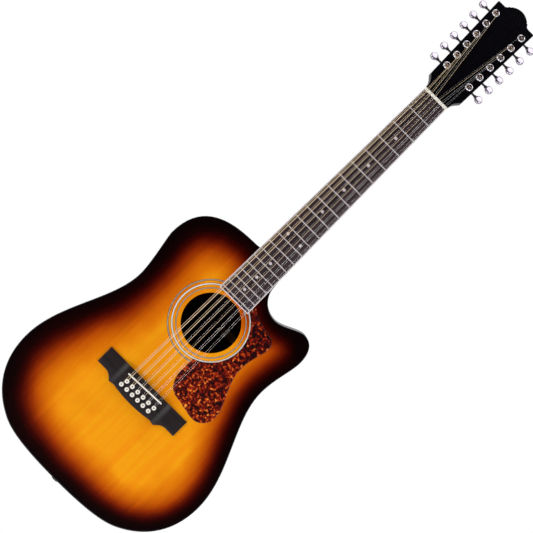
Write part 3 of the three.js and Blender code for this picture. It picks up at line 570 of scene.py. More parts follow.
TOP_FINISH = sunburst("spruce_sunburst", (
    (0.0, srgb(250, 162, 20)),
    (0.08, srgb(231, 129, 10)),
    (0.18, srgb(212, 105, 7)),
    (0.3, srgb(190, 80, 5)),
    (0.45, srgb(150, 48, 4)),
    (0.6, srgb(103, 23, 3)),
    (0.75, srgb(58, 5, 2)),
    (0.88, srgb(27, 1, 1)),
    (1.0, srgb(11, 1, 2)),
))
BODY_FINISH = sunburst("mahogany_burst", (
    (0.0, srgb(96, 34, 12)),
    (0.3, srgb(80, 25, 9)),
    (0.6, srgb(52, 12, 6)),
    (0.85, srgb(24, 3, 3)),
    (1.0, srgb(11, 1, 2)),
))
BARE_MAHOGANY = wood("bare_mahogany", srgb(24, 14, 11), srgb(42, 25, 18), 0.8, specular=0.1)
INNER_WOOD = wood("inner_spruce", srgb(176, 138, 92), srgb(214, 180, 130), 0.75, grain=1.8)
NECK_FINISH = wood("neck_mahogany", srgb(18, 6, 5), srgb(42, 16, 10), 0.3, coat=0.2, specular=0.15)
FRETBOARD_WOOD = wood(
    "fretboard_rosewood", srgb(26, 17, 20), srgb(70, 52, 58), 0.5, grain=0.9, specular=0.25,
)
BRIDGE_WOOD = wood(
    "bridge_rosewood", srgb(16, 11, 12), srgb(40, 29, 31), 0.4,
    grain=0.8, specular=0.35, stretch=(0.03, 1, 1),
)
BLACK_GLOSS = plastic("black_gloss", srgb(9, 7, 12), 0.12, coat=0.2, specular=0.3)
BLACK_BINDING = plastic("black_binding", srgb(10, 8, 11), 0.2)
WHITE_BINDING = plastic("white_binding", srgb(236, 228, 230), 0.35, mottle=0.05)
ROSETTE_WHITE = pearl("rosette_pearl", srgb(246, 244, 238))
ROSETTE_DARK = plastic("rosette_black", srgb(88, 72, 52), 0.35)
PEARL = pearl("dot_pearl", srgb(235, 222, 226))
BONE = plastic("bone", srgb(255, 250, 240), 0.4, mottle=0.06, size=4)
PAPER = plastic("label_paper", srgb(176, 138, 102), 0.9, mottle=0.2, size=20, specular=0.1)
GUARD_FINISH = tortoiseshell()
CHROME = metal("chrome", srgb(226, 222, 228), 0.1)
BUTTON_CHROME = metal("button_chrome", srgb(200, 191, 206), 0.16, size=6)
SHAFT_CHROME = metal("shaft_chrome", srgb(84, 80, 86), 0.12)
POST_CHROME = metal("post_chrome", srgb(126, 106, 98), 0.16)
FRET_METAL = metal("fret_nickel", srgb(206, 200, 202), 0.28, stretch=(0.1, 1, 1))
ROD_STEEL = metal("rod_steel", srgb(140, 142, 146), 0.4)
BRONZE = wound_wire("wound_bronze", srgb(255, 232, 196), 0.3)
PLAIN_STEEL = metal("plain_steel", srgb(250, 248, 246), 0.25)


# ==== The body ====

def knot(x, z, degrees, before, after):
    """A point that the outline passes smoothly, heading degrees from +X, with its two handles."""
    heading = Vector((math.cos(math.radians(degrees)), math.sin(math.radians(degrees))))
    at = Vector((x, TAIL_Z + z))
    return at, at - heading * before, at + heading * after


def trace(knots):
    points = []
    for (start, _, leaving), (end, arriving, _) in zip(knots, knots[1:]):
        points += bezier(start, leaving, arriving, end, OUTLINE_STEPS)
    return points + [knots[-1][0]]


def body_outline():
    """Counterclockwise: treble neck corner, bass side, round the tail and up to the cutaway."""
    lower = [
        knot(0, 0, 0, 95, 95),
        knot(130.5, 19.4, 29, 17, 38),
        knot(LOWER_BOUT_HALF, LOWER_BOUT_AT, 90, 58, 72),
    ]
    bass = trace(lower + [
        knot(WAIST_HALF, WAIST_AT, 90, 61, 24),
        knot(UPPER_BOUT_HALF, UPPER_BOUT_AT, 90, 8, 93),
        knot(NECK_CORNER_HALF, BODY_LENGTH, 166, 18, 0),
    ])
    treble = trace(lower + [
        knot(WAIST_HALF, WAIST_AT, 90, 61, 32),
        knot(HORN_HALF, HORN_AT, 90, 20, 30),
        knot(119.4, BODY_LENGTH - 48.7, 180, 10.5, 12),
        knot(69.8, BODY_LENGTH - 66, 180, 15.5, 23),
        knot(NECK_CORNER_HALF + 3, BODY_LENGTH - 34, 97, 14, 0),
    ])
    mirrored = [Vector((-point.x, point.y)) for point in reversed(bass)]
    return [Vector((NECK_CORNER_HALF, JOINT_Z))] + mirrored + treble[1:]


OUTLINE = body_outline()


def inset(distance):
    """The outline moved inward by the same distance all round."""
    moved_in = []
    for i, point in enumerate(OUTLINE):
        before = point - OUTLINE[i - 1]
        after = OUTLINE[(i + 1) % len(OUTLINE)] - point
        middle = Vector((-before.y, before.x)).normalized() + Vector((-after.y, after.x)).normalized()
        moved_in.append(point + middle * (2 * distance / middle.length_squared))
    return moved_in


def back_y(x, z):
    """The back's outer face, tapering from tail to neck and arched both ways."""
    share = (z - TAIL_Z) / BODY_LENGTH
    arch = 4 * BACK_ARCH * share * (1 - share) - x**2 / (2 * BACK_CROSS_RADIUS)
    return BACK_TAIL_Y - BACK_TAPER * share + arch


def rim_band(profile):
    """A band round the body from a closed profile: how far in from the outline, and a face for y."""
    rows = [(inset(distance), face) for distance, face in profile]
    sections = []
    for i in range(len(OUTLINE)):
        sections.append([Vector((loop[i].x, face(*loop[i]), loop[i].y)) for loop, face in rows])
    return loft(sections, closed=True)


def behind_front(depth):
    return lambda x, z: FRONT_Y + depth


def before_back(depth):
    return lambda x, z: back_y(x, z) - depth


def store_burst(piece, values):
    layer = piece.data.attributes.new("burst", "FLOAT", "POINT")
    layer.data.foreach_set("value", values.astype(np.float32))


def paint_burst(piece):
    """Stores how much dark lacquer lands on each point when it is sprayed along the edge."""
    loop = np.array([tuple(point) for point in OUTLINE])
    after = np.roll(loop, -1, axis=0)
    lengths = np.linalg.norm(after - loop, axis=1)
    middles = (loop + after) / 2
    widths = SPRAY_WIDTH * (1 - SPRAY_LEAN * middles[:, 0] / LOWER_BOUT_HALF)
    corners = np.array([(vertex.co.x / MM, vertex.co.z / MM) for vertex in piece.data.vertices])
    squares = ((corners[:, None, :] - middles[None, :, :]) ** 2).sum(axis=2)
    passes = np.exp(-squares / widths**2) * lengths / (widths * math.sqrt(math.pi))
    store_burst(piece, np.sqrt(passes.sum(axis=1)))


def line_inside(piece, material, is_inside):
    """Gives the faces that pass the test a second material."""
    piece.data.materials.append(material)
    for polygon in piece.data.polygons:
        if is_inside(polygon):
            polygon.material_index = 1


def soundboard():
    """The top: a plate from the binding to the soundhole, whose edge is slightly eased."""
    ease, bend, back = 0.5, 0.15, PLATE_THICKNESS
    hole_centre = Vector((0, SOUNDHOLE_Z))
    sections = []
    for point in inset(BINDING_WIDTH):
        outward = (point - hole_centre).normalized()
        edge = hole_centre + outward * SOUNDHOLE_RADIUS
        front = [(p, 0) for p in evenly(point, edge + outward * ease, 56)]
        lip = [(edge + outward * bend, bend), (edge, ease), (edge, back), (point, back)]
        sections.append([Vector((p.x, FRONT_Y + depth, p.y)) for p, depth in front + lip])
    shape = loft(sections, closed=True)
    piece = add_piece("soundboard_top", shape, TOP_FINISH, "spruce_top", ["soundboard"])
    paint_burst(piece)
    line_inside(piece, INNER_WOOD, lambda face: face.normal.y > 0.5)


def back_plate():
    """The arched back, in rows that meet near the body's middle."""
    centre = Vector((0, TAIL_Z + 0.43 * BODY_LENGTH))
    sections = []
    for point in inset(BINDING_WIDTH):
        outer = [Vector((p.x, back_y(p.x, p.y), p.y)) for p in evenly(point, centre, 36)]
        inner = [Vector((p.x, back_y(p.x, p.y) - PLATE_THICKNESS, p.y)) for p in (centre, point)]
        sections.append(outer + inner)
    shape = loft(sections, closed=True)
    piece = add_piece("back_plate", shape, BODY_FINISH, "sunburst_wood", ["back"])
    paint_burst(piece)
    line_inside(piece, BARE_MAHOGANY, lambda face: face.normal.y < -0.5)


def rib_band():
    """The bent sides, bare inside."""
    front, back = behind_front(BINDING_DEPTH), before_back(BINDING_DEPTH)
    profile = [(0, front), (0, back), (SIDE_THICKNESS, back), (SIDE_THICKNESS, front)]
    piece = add_piece("bent_sides", rim_band(profile), BODY_FINISH, "sunburst_wood", ["sides"])
    store_burst(piece, np.full(len(piece.data.vertices), SIDE_SPRAY))
    middle = Vector((0, 0, TAIL_Z + BODY_LENGTH / 2)) * MM
    line_inside(piece, BARE_MAHOGANY, lambda face: face.normal.dot(middle - face.center) > 0)


def bindings():
    """Black bindings round both edges, each with its outer corner rounded over."""
    corners = rounded(box_corners(0, 0, BINDING_WIDTH, BINDING_DEPTH), [BINDING_ROUND, 0, 0, 0])
    for name, place, node in (
        ("top_edge_binding", behind_front, "binding_top"),
        ("back_edge_binding", before_back, "binding_back"),
    ):
        shape = rim_band([(distance, place(depth)) for distance, depth in corners])
        add_piece(name, shape, BLACK_BINDING, "black_plastic", [node])


def rosette():
    """Three rings round the soundhole, each a light line between two dark ones, let into the top."""
    proud, depth = 0.04, 1.0
    place = shift((0, FRONT_Y, SOUNDHOLE_Z))
    dark = (ROSETTE_DARK, "black_plastic")
    white = (ROSETTE_WHITE, "white_plastic")
    for name, (middle, *widths) in ROSETTE.items():
        radius = middle - sum(widths) / 2
        for part, width, look in zip(("dark_in", "light", "dark_out"), widths, (dark, white, dark)):
            profile = box_corners(radius, -proud, radius + width, depth)
            add_piece(f"rosette_{name}_{part}", moved(turned_ring(profile, 128), place), *look)
            radius += width


def blank_label():
    """The paper label glued inside the back, under the soundhole's treble side."""
    x, z = 15, SOUNDHOLE_Z + 21
    half_width, half_height = 34, 26
    y = back_y(x, z) - PLATE_THICKNESS - 0.3
    corners = box_corners(x - half_width, z - half_height, x + half_width, z + half_height)
    add_piece("blank_label", plate(rounded(corners, [3] * 4), y - 0.2, y), PAPER, "inner_wood")


def pickguard():
    """Drawn from the saddle line up; its inner edge is an arc round the soundhole."""
    top_corner = (34.5, 214)
    outline = [Vector(top_corner)] + arc((0, SOUNDHOLE_Z - SADDLE_Z), 63.2, 1.02, -1.245, 40)
    curves = [
        ((19.7, 62), (19.7, 42), (30, 27.5), 14),
        ((43, 25.8), (60, 24), (75, 18.6), 12),
        ((87, 18.6), (99, 18.6), (111.2, 29), 14),
        ((111.1, 45), (111, 72), (85, 95), 14),
        ((85, 130), (85, 152), (94.3, 170), 12),
        ((94.5, 181), (94.7, 189), (91, 195), 8),
        ((84, 196.5), (62, 200.5), (42, 207), 10),
    ]
    ends = [curve[0] for curve in curves[1:]] + [top_corner]
    for (start, first, second, steps), end in zip(curves, ends):
        outline += bezier(start, first, second, end, steps)
    placed = [Vector((point.x, SADDLE_Z + point.y)) for point in outline[:-1]]
    shape = plate(placed, PICKGUARD_TOP_Y, FOOT_Y)
    add_piece("pickguard_plate", shape, GUARD_FINISH, "tortoiseshell", ["pickguard"], edge=0.5)


# ==== The bridge ====

def bridge_rear(x):
    """The bridge's rear edge: straight wings, a curve in to two corners, and a round belly."""
    half = abs(x)
    if half >= BRIDGE_WING_INNER:
        return BRIDGE_WING_REAR
    if half >= BRIDGE_CORNER_HALF:
        share = (BRIDGE_WING_INNER - half) / (BRIDGE_WING_INNER - BRIDGE_CORNER_HALF)
        return mix(BRIDGE_WING_REAR, BRIDGE_CORNER_REAR, share**2.2)
    if half >= BRIDGE_BELLY_HALF:
        share = (half - BRIDGE_BELLY_HALF) / (BRIDGE_CORNER_HALF - BRIDGE_BELLY_HALF)
        return mix(BRIDGE_BELLY_REAR + BRIDGE_BELLY_SAG, BRIDGE_CORNER_REAR, share)
    return BRIDGE_BELLY_REAR + BRIDGE_BELLY_SAG * (half / BRIDGE_BELLY_HALF) ** 2


def bridge_height(x):
    """High in the middle, down a hollow slope to each wing, its ends eased."""
    half = abs(x)
    full = -GAP + FRONT_Y - BRIDGE_TOP_Y
    share = (BRIDGE_SLOPE_END - half) / (BRIDGE_SLOPE_END - BRIDGE_FLAT_HALF)
    height = mix(BRIDGE_WING_HEIGHT, full, min(max(share, 0), 1) ** 1.9)
    past = max(0, half - (BRIDGE_HALF - BRIDGE_END_EASE))
    return height - (BRIDGE_END_EASE - math.sqrt(max(BRIDGE_END_EASE**2 - past**2, 0)))


def bridge():
    belly = np.linspace(0, BRIDGE_BELLY_HALF, 16)
    slope = np.linspace(BRIDGE_FLAT_HALF - 1, BRIDGE_SLOPE_END + 1, 27)
    wing = np.linspace(BRIDGE_SLOPE_END + 1.5, BRIDGE_WING_INNER, 10)
    ends = BRIDGE_HALF - np.array([BRIDGE_END_EASE, 0.7, 0.5, 0.3, 0.15, 0.05, 0])
    half_stations = sorted({*belly, *slope, BRIDGE_CORNER_HALF, *wing, 76, *ends})
    sections = []
    for x in [-x for x in reversed(half_stations[1:])] + half_stations:
        rear, top = bridge_rear(x), FRONT_Y - bridge_height(x)
        corners = [(BRIDGE_FRONT, FOOT_Y), (BRIDGE_FRONT, top), (rear, top), (rear, FOOT_Y)]
        sections.append([Vector((x, y, SADDLE_Z + z)) for z, y in rounded(corners, [0, 0.9, 0.9, 0])])
    add_piece("bridge_block", loft(sections), BRIDGE_WOOD, "dark_rosewood", ["bridge"], sharp=28)


def saddle():
    """A bone blade with a rounded top, slanted so that the bass strings are longer."""
    turn = math.atan2(SADDLE_SLANT, SADDLE_LENGTH)
    half = SADDLE_LENGTH / 2
    place = shift((0, 0, SADDLE_Z)) @ Matrix.Rotation(-turn, 4, "Y")
    foot = BRIDGE_TOP_Y + 4
    sections = []
    for x in (-half, -half + 0.3, -half + 0.9, -24, -12, 0, 12, 24, half - 0.9, half - 0.3, half):
        narrow = {half: 0.7, half - 0.3: 0.2}.get(abs(x), 0)
        top = SADDLE_TOP_Y + SADDLE_CROWN * (x / half) ** 2 + narrow
        wide = SADDLE_WIDTH / 2 - narrow
        corners = [(-wide, foot), (-wide, top), (wide, top), (wide, foot)]
        profile = rounded(corners, [0, 0.95 * wide, 0.95 * wide, 0])
        sections.append([Vector((x, y, z)) for z, y in profile])
    add_piece("saddle_bone", moved(loft(sections), place), BONE, "bone", ["saddle"])


def saddle_line_z(x):
    return SADDLE_Z + x * SADDLE_SLANT / SADDLE_LENGTH


def bridge_pin(number, x, z):
    """One bridge pin, with a domed head and a dark dot let into it."""
    r = PIN_HEAD_RADIUS
    head = [(0, -2.7), (1.3, -2.65), (2.5, -2.25), (r - 0.3, -1.4), (r, -0.7), (r - 0.15, -0.15), (2.9, 0)]
    shaft = [(2.75, 2), (2.3, 17), (1.6, 18.5), (0, 18.6)]
    place = shift((x, BRIDGE_TOP_Y, z))
    name = f"bridge_pin_{number}"
    add_piece(name, moved(turned(head + shaft), place), BONE, "bone", sharp=60)
    dot = [(0, -2.8), (0.8, -2.76), (1.15, -2.66), (1.15, -2.2), (0, -2.2)]
    add_piece(name + "_dot", moved(turned(dot, 20), place), ROSETTE_DARK, "black_plastic", sharp=60)


# ==== The neck ====

def fret_z(number):
    return SADDLE_Z + SCALE_LENGTH / 2 ** (number / 12)


def fretboard_half(z):
    return mix(FRETBOARD_END_HALF, NUT_HALF, (z - FRETBOARD_END_Z) / (NUT_Z - FRETBOARD_END_Z))


def crown_y(x):
    """The fretboard's playing face, slightly round from side to side."""
    return FRETBOARD_TOP_Y + x**2 / (2 * FRETBOARD_CROWN)


def crowned_section(z, half):
    top = [Vector((x, crown_y(x), z)) for x in evenly(-half, half, 16)]
    return top + [Vector((half, FOOT_Y, z)), Vector((-half, FOOT_Y, z))]


def fretboard():
    end = FRETBOARD_END_Z + FRETBOARD_BINDING
    sections = [crowned_section(z, fretboard_half(z) - FRETBOARD_BINDING) for z in evenly(end, NUT_Z, 20)]
    add_piece("fretboard_face", loft(sections), FRETBOARD_WOOD, "dark_rosewood", ["fretboard"])


def fretboard_edges():
    """White binding along both sides and across the end."""
    for side in (-1, 1):
        sections = []
        for z in (FRETBOARD_END_Z, NUT_Z):
            outer = fretboard_half(z)
            inner = outer - FRETBOARD_BINDING
            corners = [(inner, crown_y(inner)), (outer, crown_y(outer)), (outer, FRONT_Y), (inner, FRONT_Y)]
            sections.append([Vector((side * x, y, z)) for x, y in rounded(corners, [0, 0.6, 0, 0])])
        name = "fretboard_binding_" + ("bass" if side < 0 else "treble")
        add_piece(name, loft(sections), WHITE_BINDING, "white_plastic", ["fretboard_binding"])
    end_half = fretboard_half(FRETBOARD_END_Z) - FRETBOARD_BINDING
    ends = (FRETBOARD_END_Z, FRETBOARD_END_Z + FRETBOARD_BINDING)
    sections = [crowned_section(z, end_half) for z in ends]
    add_piece("fretboard_binding_end", loft(sections), WHITE_BINDING, "white_plastic", edge=0.3)


def fret(number):
    """One fret: a crowned nickel bead across the board, its ends filed over."""
    z = fret_z(number)
    half = fretboard_half(z) - 0.35
    rising = [(-1, 0.25), (-0.95, -0.35), (-0.7, -0.8), (-0.25, -FRET_HEIGHT)]
    bead = rising + [(-across, y) for across, y in reversed(rising)]
    sections = []
    for x in evenly(-half, half, 12):
        filed = 0.35 if abs(x) > half - GAP else 1
        section = [Vector((x, crown_y(x) + y * filed, z + across * FRET_HALF_WIDTH)) for across, y in bead]
        sections.append(section)
    add_piece(f"fret_{number}", loft(sections), FRET_METAL, "steel", sharp=50)


def position_dots():
    profile = [(0, -0.06), (DOT_RADIUS - 0.1, -0.06), (DOT_RADIUS, 0.02), (DOT_RADIUS, 1.2), (0, 1.2)]
    for number in DOT_FRETS:
        z = (fret_z(number - 1) + fret_z(number)) / 2
        places = (-DOUBLE_DOT_HALF, DOUBLE_DOT_HALF) if number == DOUBLE_DOT_FRET else (0,)
        for i, x in enumerate(places):
            shape = moved(turned(profile, 28), shift((x, crown_y(x), z)))
            add_piece(f"position_dot_{number}_{i + 1}", shape, PEARL, "white_plastic")


def neck_section(z, half, top, depth):
    """Half an oval, cut off level with the heel's flat end."""
    deepest = back_y(0, JOINT_Z)
    section = []
    for angle in evenly(0, math.pi, 28):
        y = min(top + depth * math.sin(angle) ** 0.85, deepest)
        section.append(Vector((half * math.cos(angle), y, z)))
    return section


def neck_shaft():
    """The heel, the shaft and the throat that runs into the headstock."""
    heel_face = JOINT_Z + GLUE_LINE
    sections = [neck_section(heel_face, fretboard_half(heel_face), FRONT_Y, HEEL_DEPTH)]
    for share in evenly(0, 1, 40):
        z = heel_face + HEEL_CAP_LENGTH + share * HEEL_LENGTH
        depth = SHAFT_DEPTH_HEEL + (HEEL_DEPTH - SHAFT_DEPTH_HEEL) * (1 - share) ** 3
        sections.append(neck_section(z, fretboard_half(z), FRONT_Y, depth))
    sections.append(neck_section(HEAD_Z, fretboard_half(NUT_Z), FRONT_Y, SHAFT_DEPTH_NUT))
    for share in (0.25, 0.5, 0.75, 1):
        throat = THROAT_LENGTH * share
        top = FRONT_Y + throat * math.tan(HEAD_TILT)
        depth = mix(SHAFT_DEPTH_NUT, HEAD_THICKNESS + 1.5, share)
        sections.append(neck_section(HEAD_Z + throat, HEAD_THROAT_HALF, top, depth))
    add_piece("neck_shaft", loft(sections), NECK_FINISH, "neck_wood", ["neck"], sharp=35)


def heel_cap():
    """A thin black cap on the heel's flat end."""
    y = back_y(0, JOINT_Z)
    edge_z = JOINT_Z + 0.3
    outline = [Vector((p.x, edge_z + 0.85 * p.y)) for p in arc((0, 0), 18.6, 0, math.pi, 24)]
    add_piece("heel_cap", plate(outline, y - 0.3, y + 1.4), BLACK_BINDING, "black_plastic", edge=0.4)


def nut():
    """A bone nut with a slot for each string and its front corners rounded."""
    full, end_ease = FRONT_Y - NUT_HEIGHT, 0.8
    stations = [(-NUT_HALF, full + end_ease), (-NUT_HALF + end_ease, full)]
    for layout in STRINGS:
        x, floor = layout.nut_x, layout.nut_y + layout.radius
        outer, inner = layout.radius + 0.05, layout.radius + 0.03
        stations += [(x - outer, full), (x - inner, floor), (x + inner, floor), (x + outer, full)]
    stations += [(NUT_HALF - end_ease, full), (NUT_HALF, full + end_ease)]
    sections = []
    for x, top in stations:
        corners = [(NUT_Z, FOOT_Y), (NUT_Z, top), (HEAD_Z, top + 0.5), (HEAD_Z, FOOT_Y)]
        sections.append([Vector((x, y, z)) for z, y in rounded(corners, [0, 0.5, 1.2, 0])])
    add_piece("nut_bone", loft(sections), BONE, "bone", ["nut"])


# ==== The headstock ====

POST_AXIS = Vector(JOINTS["turn_post_treble_1"]["axis"])
HEAD_TILT = math.atan2(-POST_AXIS.z, POST_AXIS.y)
HEAD_FRAME = shift((0, FRONT_Y, HEAD_Z)) @ Matrix.Rotation(-HEAD_TILT, 4, "X")


def head_outline(clearance):
    """The headstock's outline, up from the nut along its face, with a crest at the top."""
    throat = HEAD_THROAT_HALF - clearance
    low = HEAD_LOWER_HALF - clearance
    high = HEAD_UPPER_HALF - clearance
    top = HEAD_LENGTH - clearance
    shoulder = HEAD_UPPER_AT + 1.5
    crest_foot = (20.3, HEAD_LENGTH - 8.6)
    crest_notch = (17.3, HEAD_LENGTH - 6.9)
    right = bezier((throat, clearance), (throat + 0.6, 12), (27, 14), (low, HEAD_LOWER_AT), 12)
    right += [Vector((low, HEAD_LOWER_AT)), Vector((high, HEAD_UPPER_AT)), Vector((high - 1, shoulder))]
    right += bow((26.9, shoulder), (22, HEAD_UPPER_AT + 2), crest_foot, 8)
    right += bow(crest_foot, (18.2, HEAD_LENGTH - 9.6), crest_notch, 4)
    right += bow(crest_notch, (9.1, top), (0, top), 12)
    left = [Vector((-point.x, point.y)) for point in reversed(right)]
    return right + [Vector((0, top))] + left


def headstock():
    wooden = moved(plate(head_outline(0), 0, HEAD_THICKNESS), HEAD_FRAME)
    add_piece("headstock_wood", wooden, NECK_FINISH, "neck_wood", edge=0.9)
    face = moved(plate(head_outline(GAP), VENEER_FRONT, 0), HEAD_FRAME)
    add_piece("headstock_face", face, BLACK_GLOSS, "black_plastic", ["headstock_veneer"], edge=0.35)


def tuner_places():
    """Each tuner's name and side, and the places of its post and its worm in the headstock's frame."""
    to_head = HEAD_FRAME.inverted()
    places = []
    for name in JOINTS:
        if not name.startswith("turn_post_"):
            continue
        key = name.removeprefix("turn_post_")
        post = to_head @ (Vector(JOINTS[name]["pos_m"]) / MM)
        worm = to_head @ (Vector(JOINTS["turn_button_" + key]["pos_m"]) / MM)
        side = -1 if post.x < 0 else 1
        places.append(SimpleNamespace(key=key, side=side, x=post.x, z=post.z, worm=worm))
    return places


def ferrule(key, place):
    """The bright collar round the post on the headstock's face."""
    r = FERRULE_RADIUS
    steps = [
        (3.3, 0), (r - 0.2, 0), (r, 0.25), (r - 0.15, 0.75), (r - 0.9, 1.0),
        (r - 1.5, 1.3), (r - 1.9, 2.1), (r - 2.3, 2.45), (3.6, 2.4), (3.3, 2.0),
    ]
    profile = [(radius, VENEER_FRONT - 0.05 - height) for radius, height in steps]
    shape = moved(turned_ring(profile), place)
    add_piece("ferrule_" + key, shape, CHROME, "chrome", ["tuner_housing_" + key])


def gear_housing(key, place):
    """The cast housing behind the headstock, with its ear, screw and round cover."""
    back = HOUSING_BACK
    sections = []
    for y, shrink in ((HOUSING_FRONT, 0), (back - 2.2, 0), (back - 1, 0.4), (back - 0.3, 1.2), (back, 2.3)):
        wide = HOUSING_HALF - shrink
        corners = rounded(box_corners(-wide, -6.5 + shrink, wide, 9 - shrink), [2.6] * 4)
        sections.append(at_depth(corners, y))
    cover = turned([(0, 0.9), (3.2, 0.8), (4.3, 0.3), (4.4, -1), (0, -1)])
    ear_back = HOUSING_FRONT + 1.6
    ear = plate(rounded(box_corners(-3.4, -11.5, 3.4, -5), [3, 3, 0, 0]), HOUSING_FRONT, ear_back)
    shape = joined(loft(sections), moved(cover, shift((0, back, 1.2))), ear)
    add_piece("gear_housing_" + key, moved(shape, place), CHROME, "chrome", edge=0.25)
    head = [(0, 1.5), (1.0, 1.45), (1.7, 1.0), (2.0, 0.2), (2.0, -0.2), (0.9, -0.3), (0.8, -8), (0, -9)]
    screw = moved(turned(head, 20), place @ shift((0, ear_back, -8.2)))
    add_piece("housing_screw_" + key, screw, CHROME, "chrome")


def string_post(key, place):
    """The post, waisted where the string winds, with a hole across its top."""
    r, top, foot = POST_RADIUS, POST_TOP, HEAD_THICKNESS + 4
    profile = [
        (0, top + 0.4), (1.2, top + 0.35), (r - 0.6, top), (r - 0.15, top + 0.2), (r, top + 0.6),
        (r, top + 1.6), (r - 0.35, top + 2.6), (r - 0.45, WINDING_Y), (r - 0.3, VENEER_FRONT - 3),
        (r, VENEER_FRONT - 2.2), (r, foot), (0, foot),
    ]
    shape = moved(turned(profile, 28), place)
    body = "post_" + key
    post = add_piece("string_" + body, shape, POST_CHROME, "chrome", ["tuner_" + body], body)
    middle = place @ Vector((0, top + 2.0, 0))
    path = [middle + Vector((step, 0, 0)) for step in (-4, 0, 4)]
    drill = add_piece("drill_" + key, tube(path, 0.75, 10), CHROME, "chrome", body=body)
    bore = post.modifiers.new("string_hole", "BOOLEAN")
    bore.object = drill
    bore.operation = "DIFFERENCE"
    apply_modifiers(post)
    bpy.data.objects.remove(drill)


def apply_modifiers(piece):
    """Makes a piece's mesh what its modifiers show."""
    bpy.context.view_layer.update()
    shown = piece.evaluated_get(bpy.context.evaluated_depsgraph_get())
    mesh = bpy.data.meshes.new_from_object(shown)
    piece.modifiers.clear()
    piece.data = mesh


def tuner_button(tuner):
    """The shaft from the housing and the round button at its end."""
    body = "button_" + tuner.key
    start = HOUSING_HALF - 0.6
    edge = BUTTON_FROM_POST - BUTTON_RADIUS
    shaft = [
        (0, start), (3.3, start), (3.4, start + 0.3), (3.4, start + 1.8), (3.0, start + 2.2),
        (1.9, start + 2.5), (1.8, edge - 3), (2.0, edge - 2), (2.7, edge - 1.4), (2.9, edge - 0.4),
        (2.8, edge + 0.8), (2.2, edge + 2), (0, edge + 2),
    ]
    h, r = BUTTON_HALF, BUTTON_RADIUS
    half_disc = [(0, h + 0.1), (3, h + 0.05), (4.9, h - 0.1), (5.8, h - 0.5), (6.5, h - 1.4), (r, 0.8)]
    disc = [(radius, -y) for radius, y in half_disc] + half_disc[::-1]
    axis = HEAD_FRAME @ shift((tuner.x, tuner.worm.y, tuner.worm.z))
    lay_along_x = Matrix.Rotation(-tuner.side * math.pi / 2, 4, "Z")
    stem = moved(turned(shaft, 24), axis @ lay_along_x)
    add_piece("tuner_shaft_" + tuner.key, stem, SHAFT_CHROME, "chrome", ["tuner_" + body], body, sharp=50)
    out = shift((tuner.side * BUTTON_FROM_POST, 0, 0)) @ Matrix.Rotation(-BUTTON_TURN, 4, "X")
    knob = moved(turned(disc, 36), axis @ out)
    add_piece("tuner_knob_" + tuner.key, knob, BUTTON_CHROME, "chrome", body=body, sharp=60)


def tuners():
    for tuner in tuner_places():
        place = HEAD_FRAME @ shift((tuner.x, 0, tuner.z))
        ferrule(tuner.key, place)
        gear_housing(tuner.key, place)
        string_post(tuner.key, place)
        tuner_button(tuner)


# ==== The strings ====

def string_layout():
    """Each string's size, its pin, its places over the saddle and the nut, and its post."""
    posts = {tuner.key: tuner for tuner in tuner_places()}
    strings = []
    for i, diameter in enumerate(STRING_DIAMETERS):
        course, in_pair, radius = i // 2 - 2.5, i % 2 - 0.5, diameter / 2
        strings.append(SimpleNamespace(
            number=i + 1,
            radius=radius,
            bridge_x=course * COURSE_AT_BRIDGE + in_pair * PAIR_AT_BRIDGE,
            nut_x=course * COURSE_AT_NUT + in_pair * PAIR_AT_NUT,
            nut_y=FRONT_Y - NUT_SLOT_HEIGHT - radius,
            pin_z=SADDLE_Z + (REAR_PIN_ROW if i % 2 == 0 else FRONT_PIN_ROW),
            post=posts[f"bass_{i + 1}" if i < 6 else f"treble_{12 - i}"],
        ))
    return strings


def string(layout):
    """One string from its pin over the saddle and the nut to its post, and its turns on the post."""
    radius, post, pin_z = layout.radius, layout.post, layout.pin_z
    x, nut_x, nut_y = layout.bridge_x, layout.nut_x, layout.nut_y
    finish, slot = (BRONZE, "string_bronze") if 2 * radius > THINNEST_WOUND else (PLAIN_STEEL, "steel")
    turn_radius = POST_RADIUS - 0.3 + radius
    pitch = 2 * radius + 0.08
    turns_start = WINDING_Y - pitch * STRING_TURNS / 2
    saddle_z = saddle_line_z(x)
    saddle_y = SADDLE_TOP_Y + SADDLE_CROWN * (2 * x / SADDLE_LENGTH) ** 2 - radius
    path = [
        Vector((x, BRIDGE_TOP_Y + 2.5, pin_z + 2.4)),
        Vector((x, BRIDGE_TOP_Y - radius, pin_z + 3.6)),
        Vector((x, saddle_y + 0.25, saddle_z - 1.4)),
        Vector((x, saddle_y, saddle_z - 0.5)),
        Vector((x, saddle_y, saddle_z + 0.5)),
        Vector((nut_x, nut_y, NUT_Z + 0.3)),
        Vector((nut_x, nut_y, NUT_Z + 2.5)),
        Vector((nut_x, nut_y + 0.4, HEAD_Z)),
        HEAD_FRAME @ Vector((post.x - post.side * turn_radius, turns_start, post.z)),
    ]
    name = f"string_{layout.number}"
    add_piece(name, tube(path, radius, 10), finish, slot, ["strings"], sharp=60)
    coil = []
    for turn in evenly(0, STRING_TURNS, int(STRING_TURNS * 24)):
        angle = 2 * math.pi * turn
        across = -post.side * turn_radius * math.cos(angle)
        up = turn_radius * math.sin(angle)
        coil.append(Vector((post.x + across, turns_start + pitch * turn, post.z + up)))
    shape = moved(tube(coil, radius, 8), HEAD_FRAME)
    add_piece(name + "_turns", shape, finish, slot, body="post_" + post.key, sharp=60)


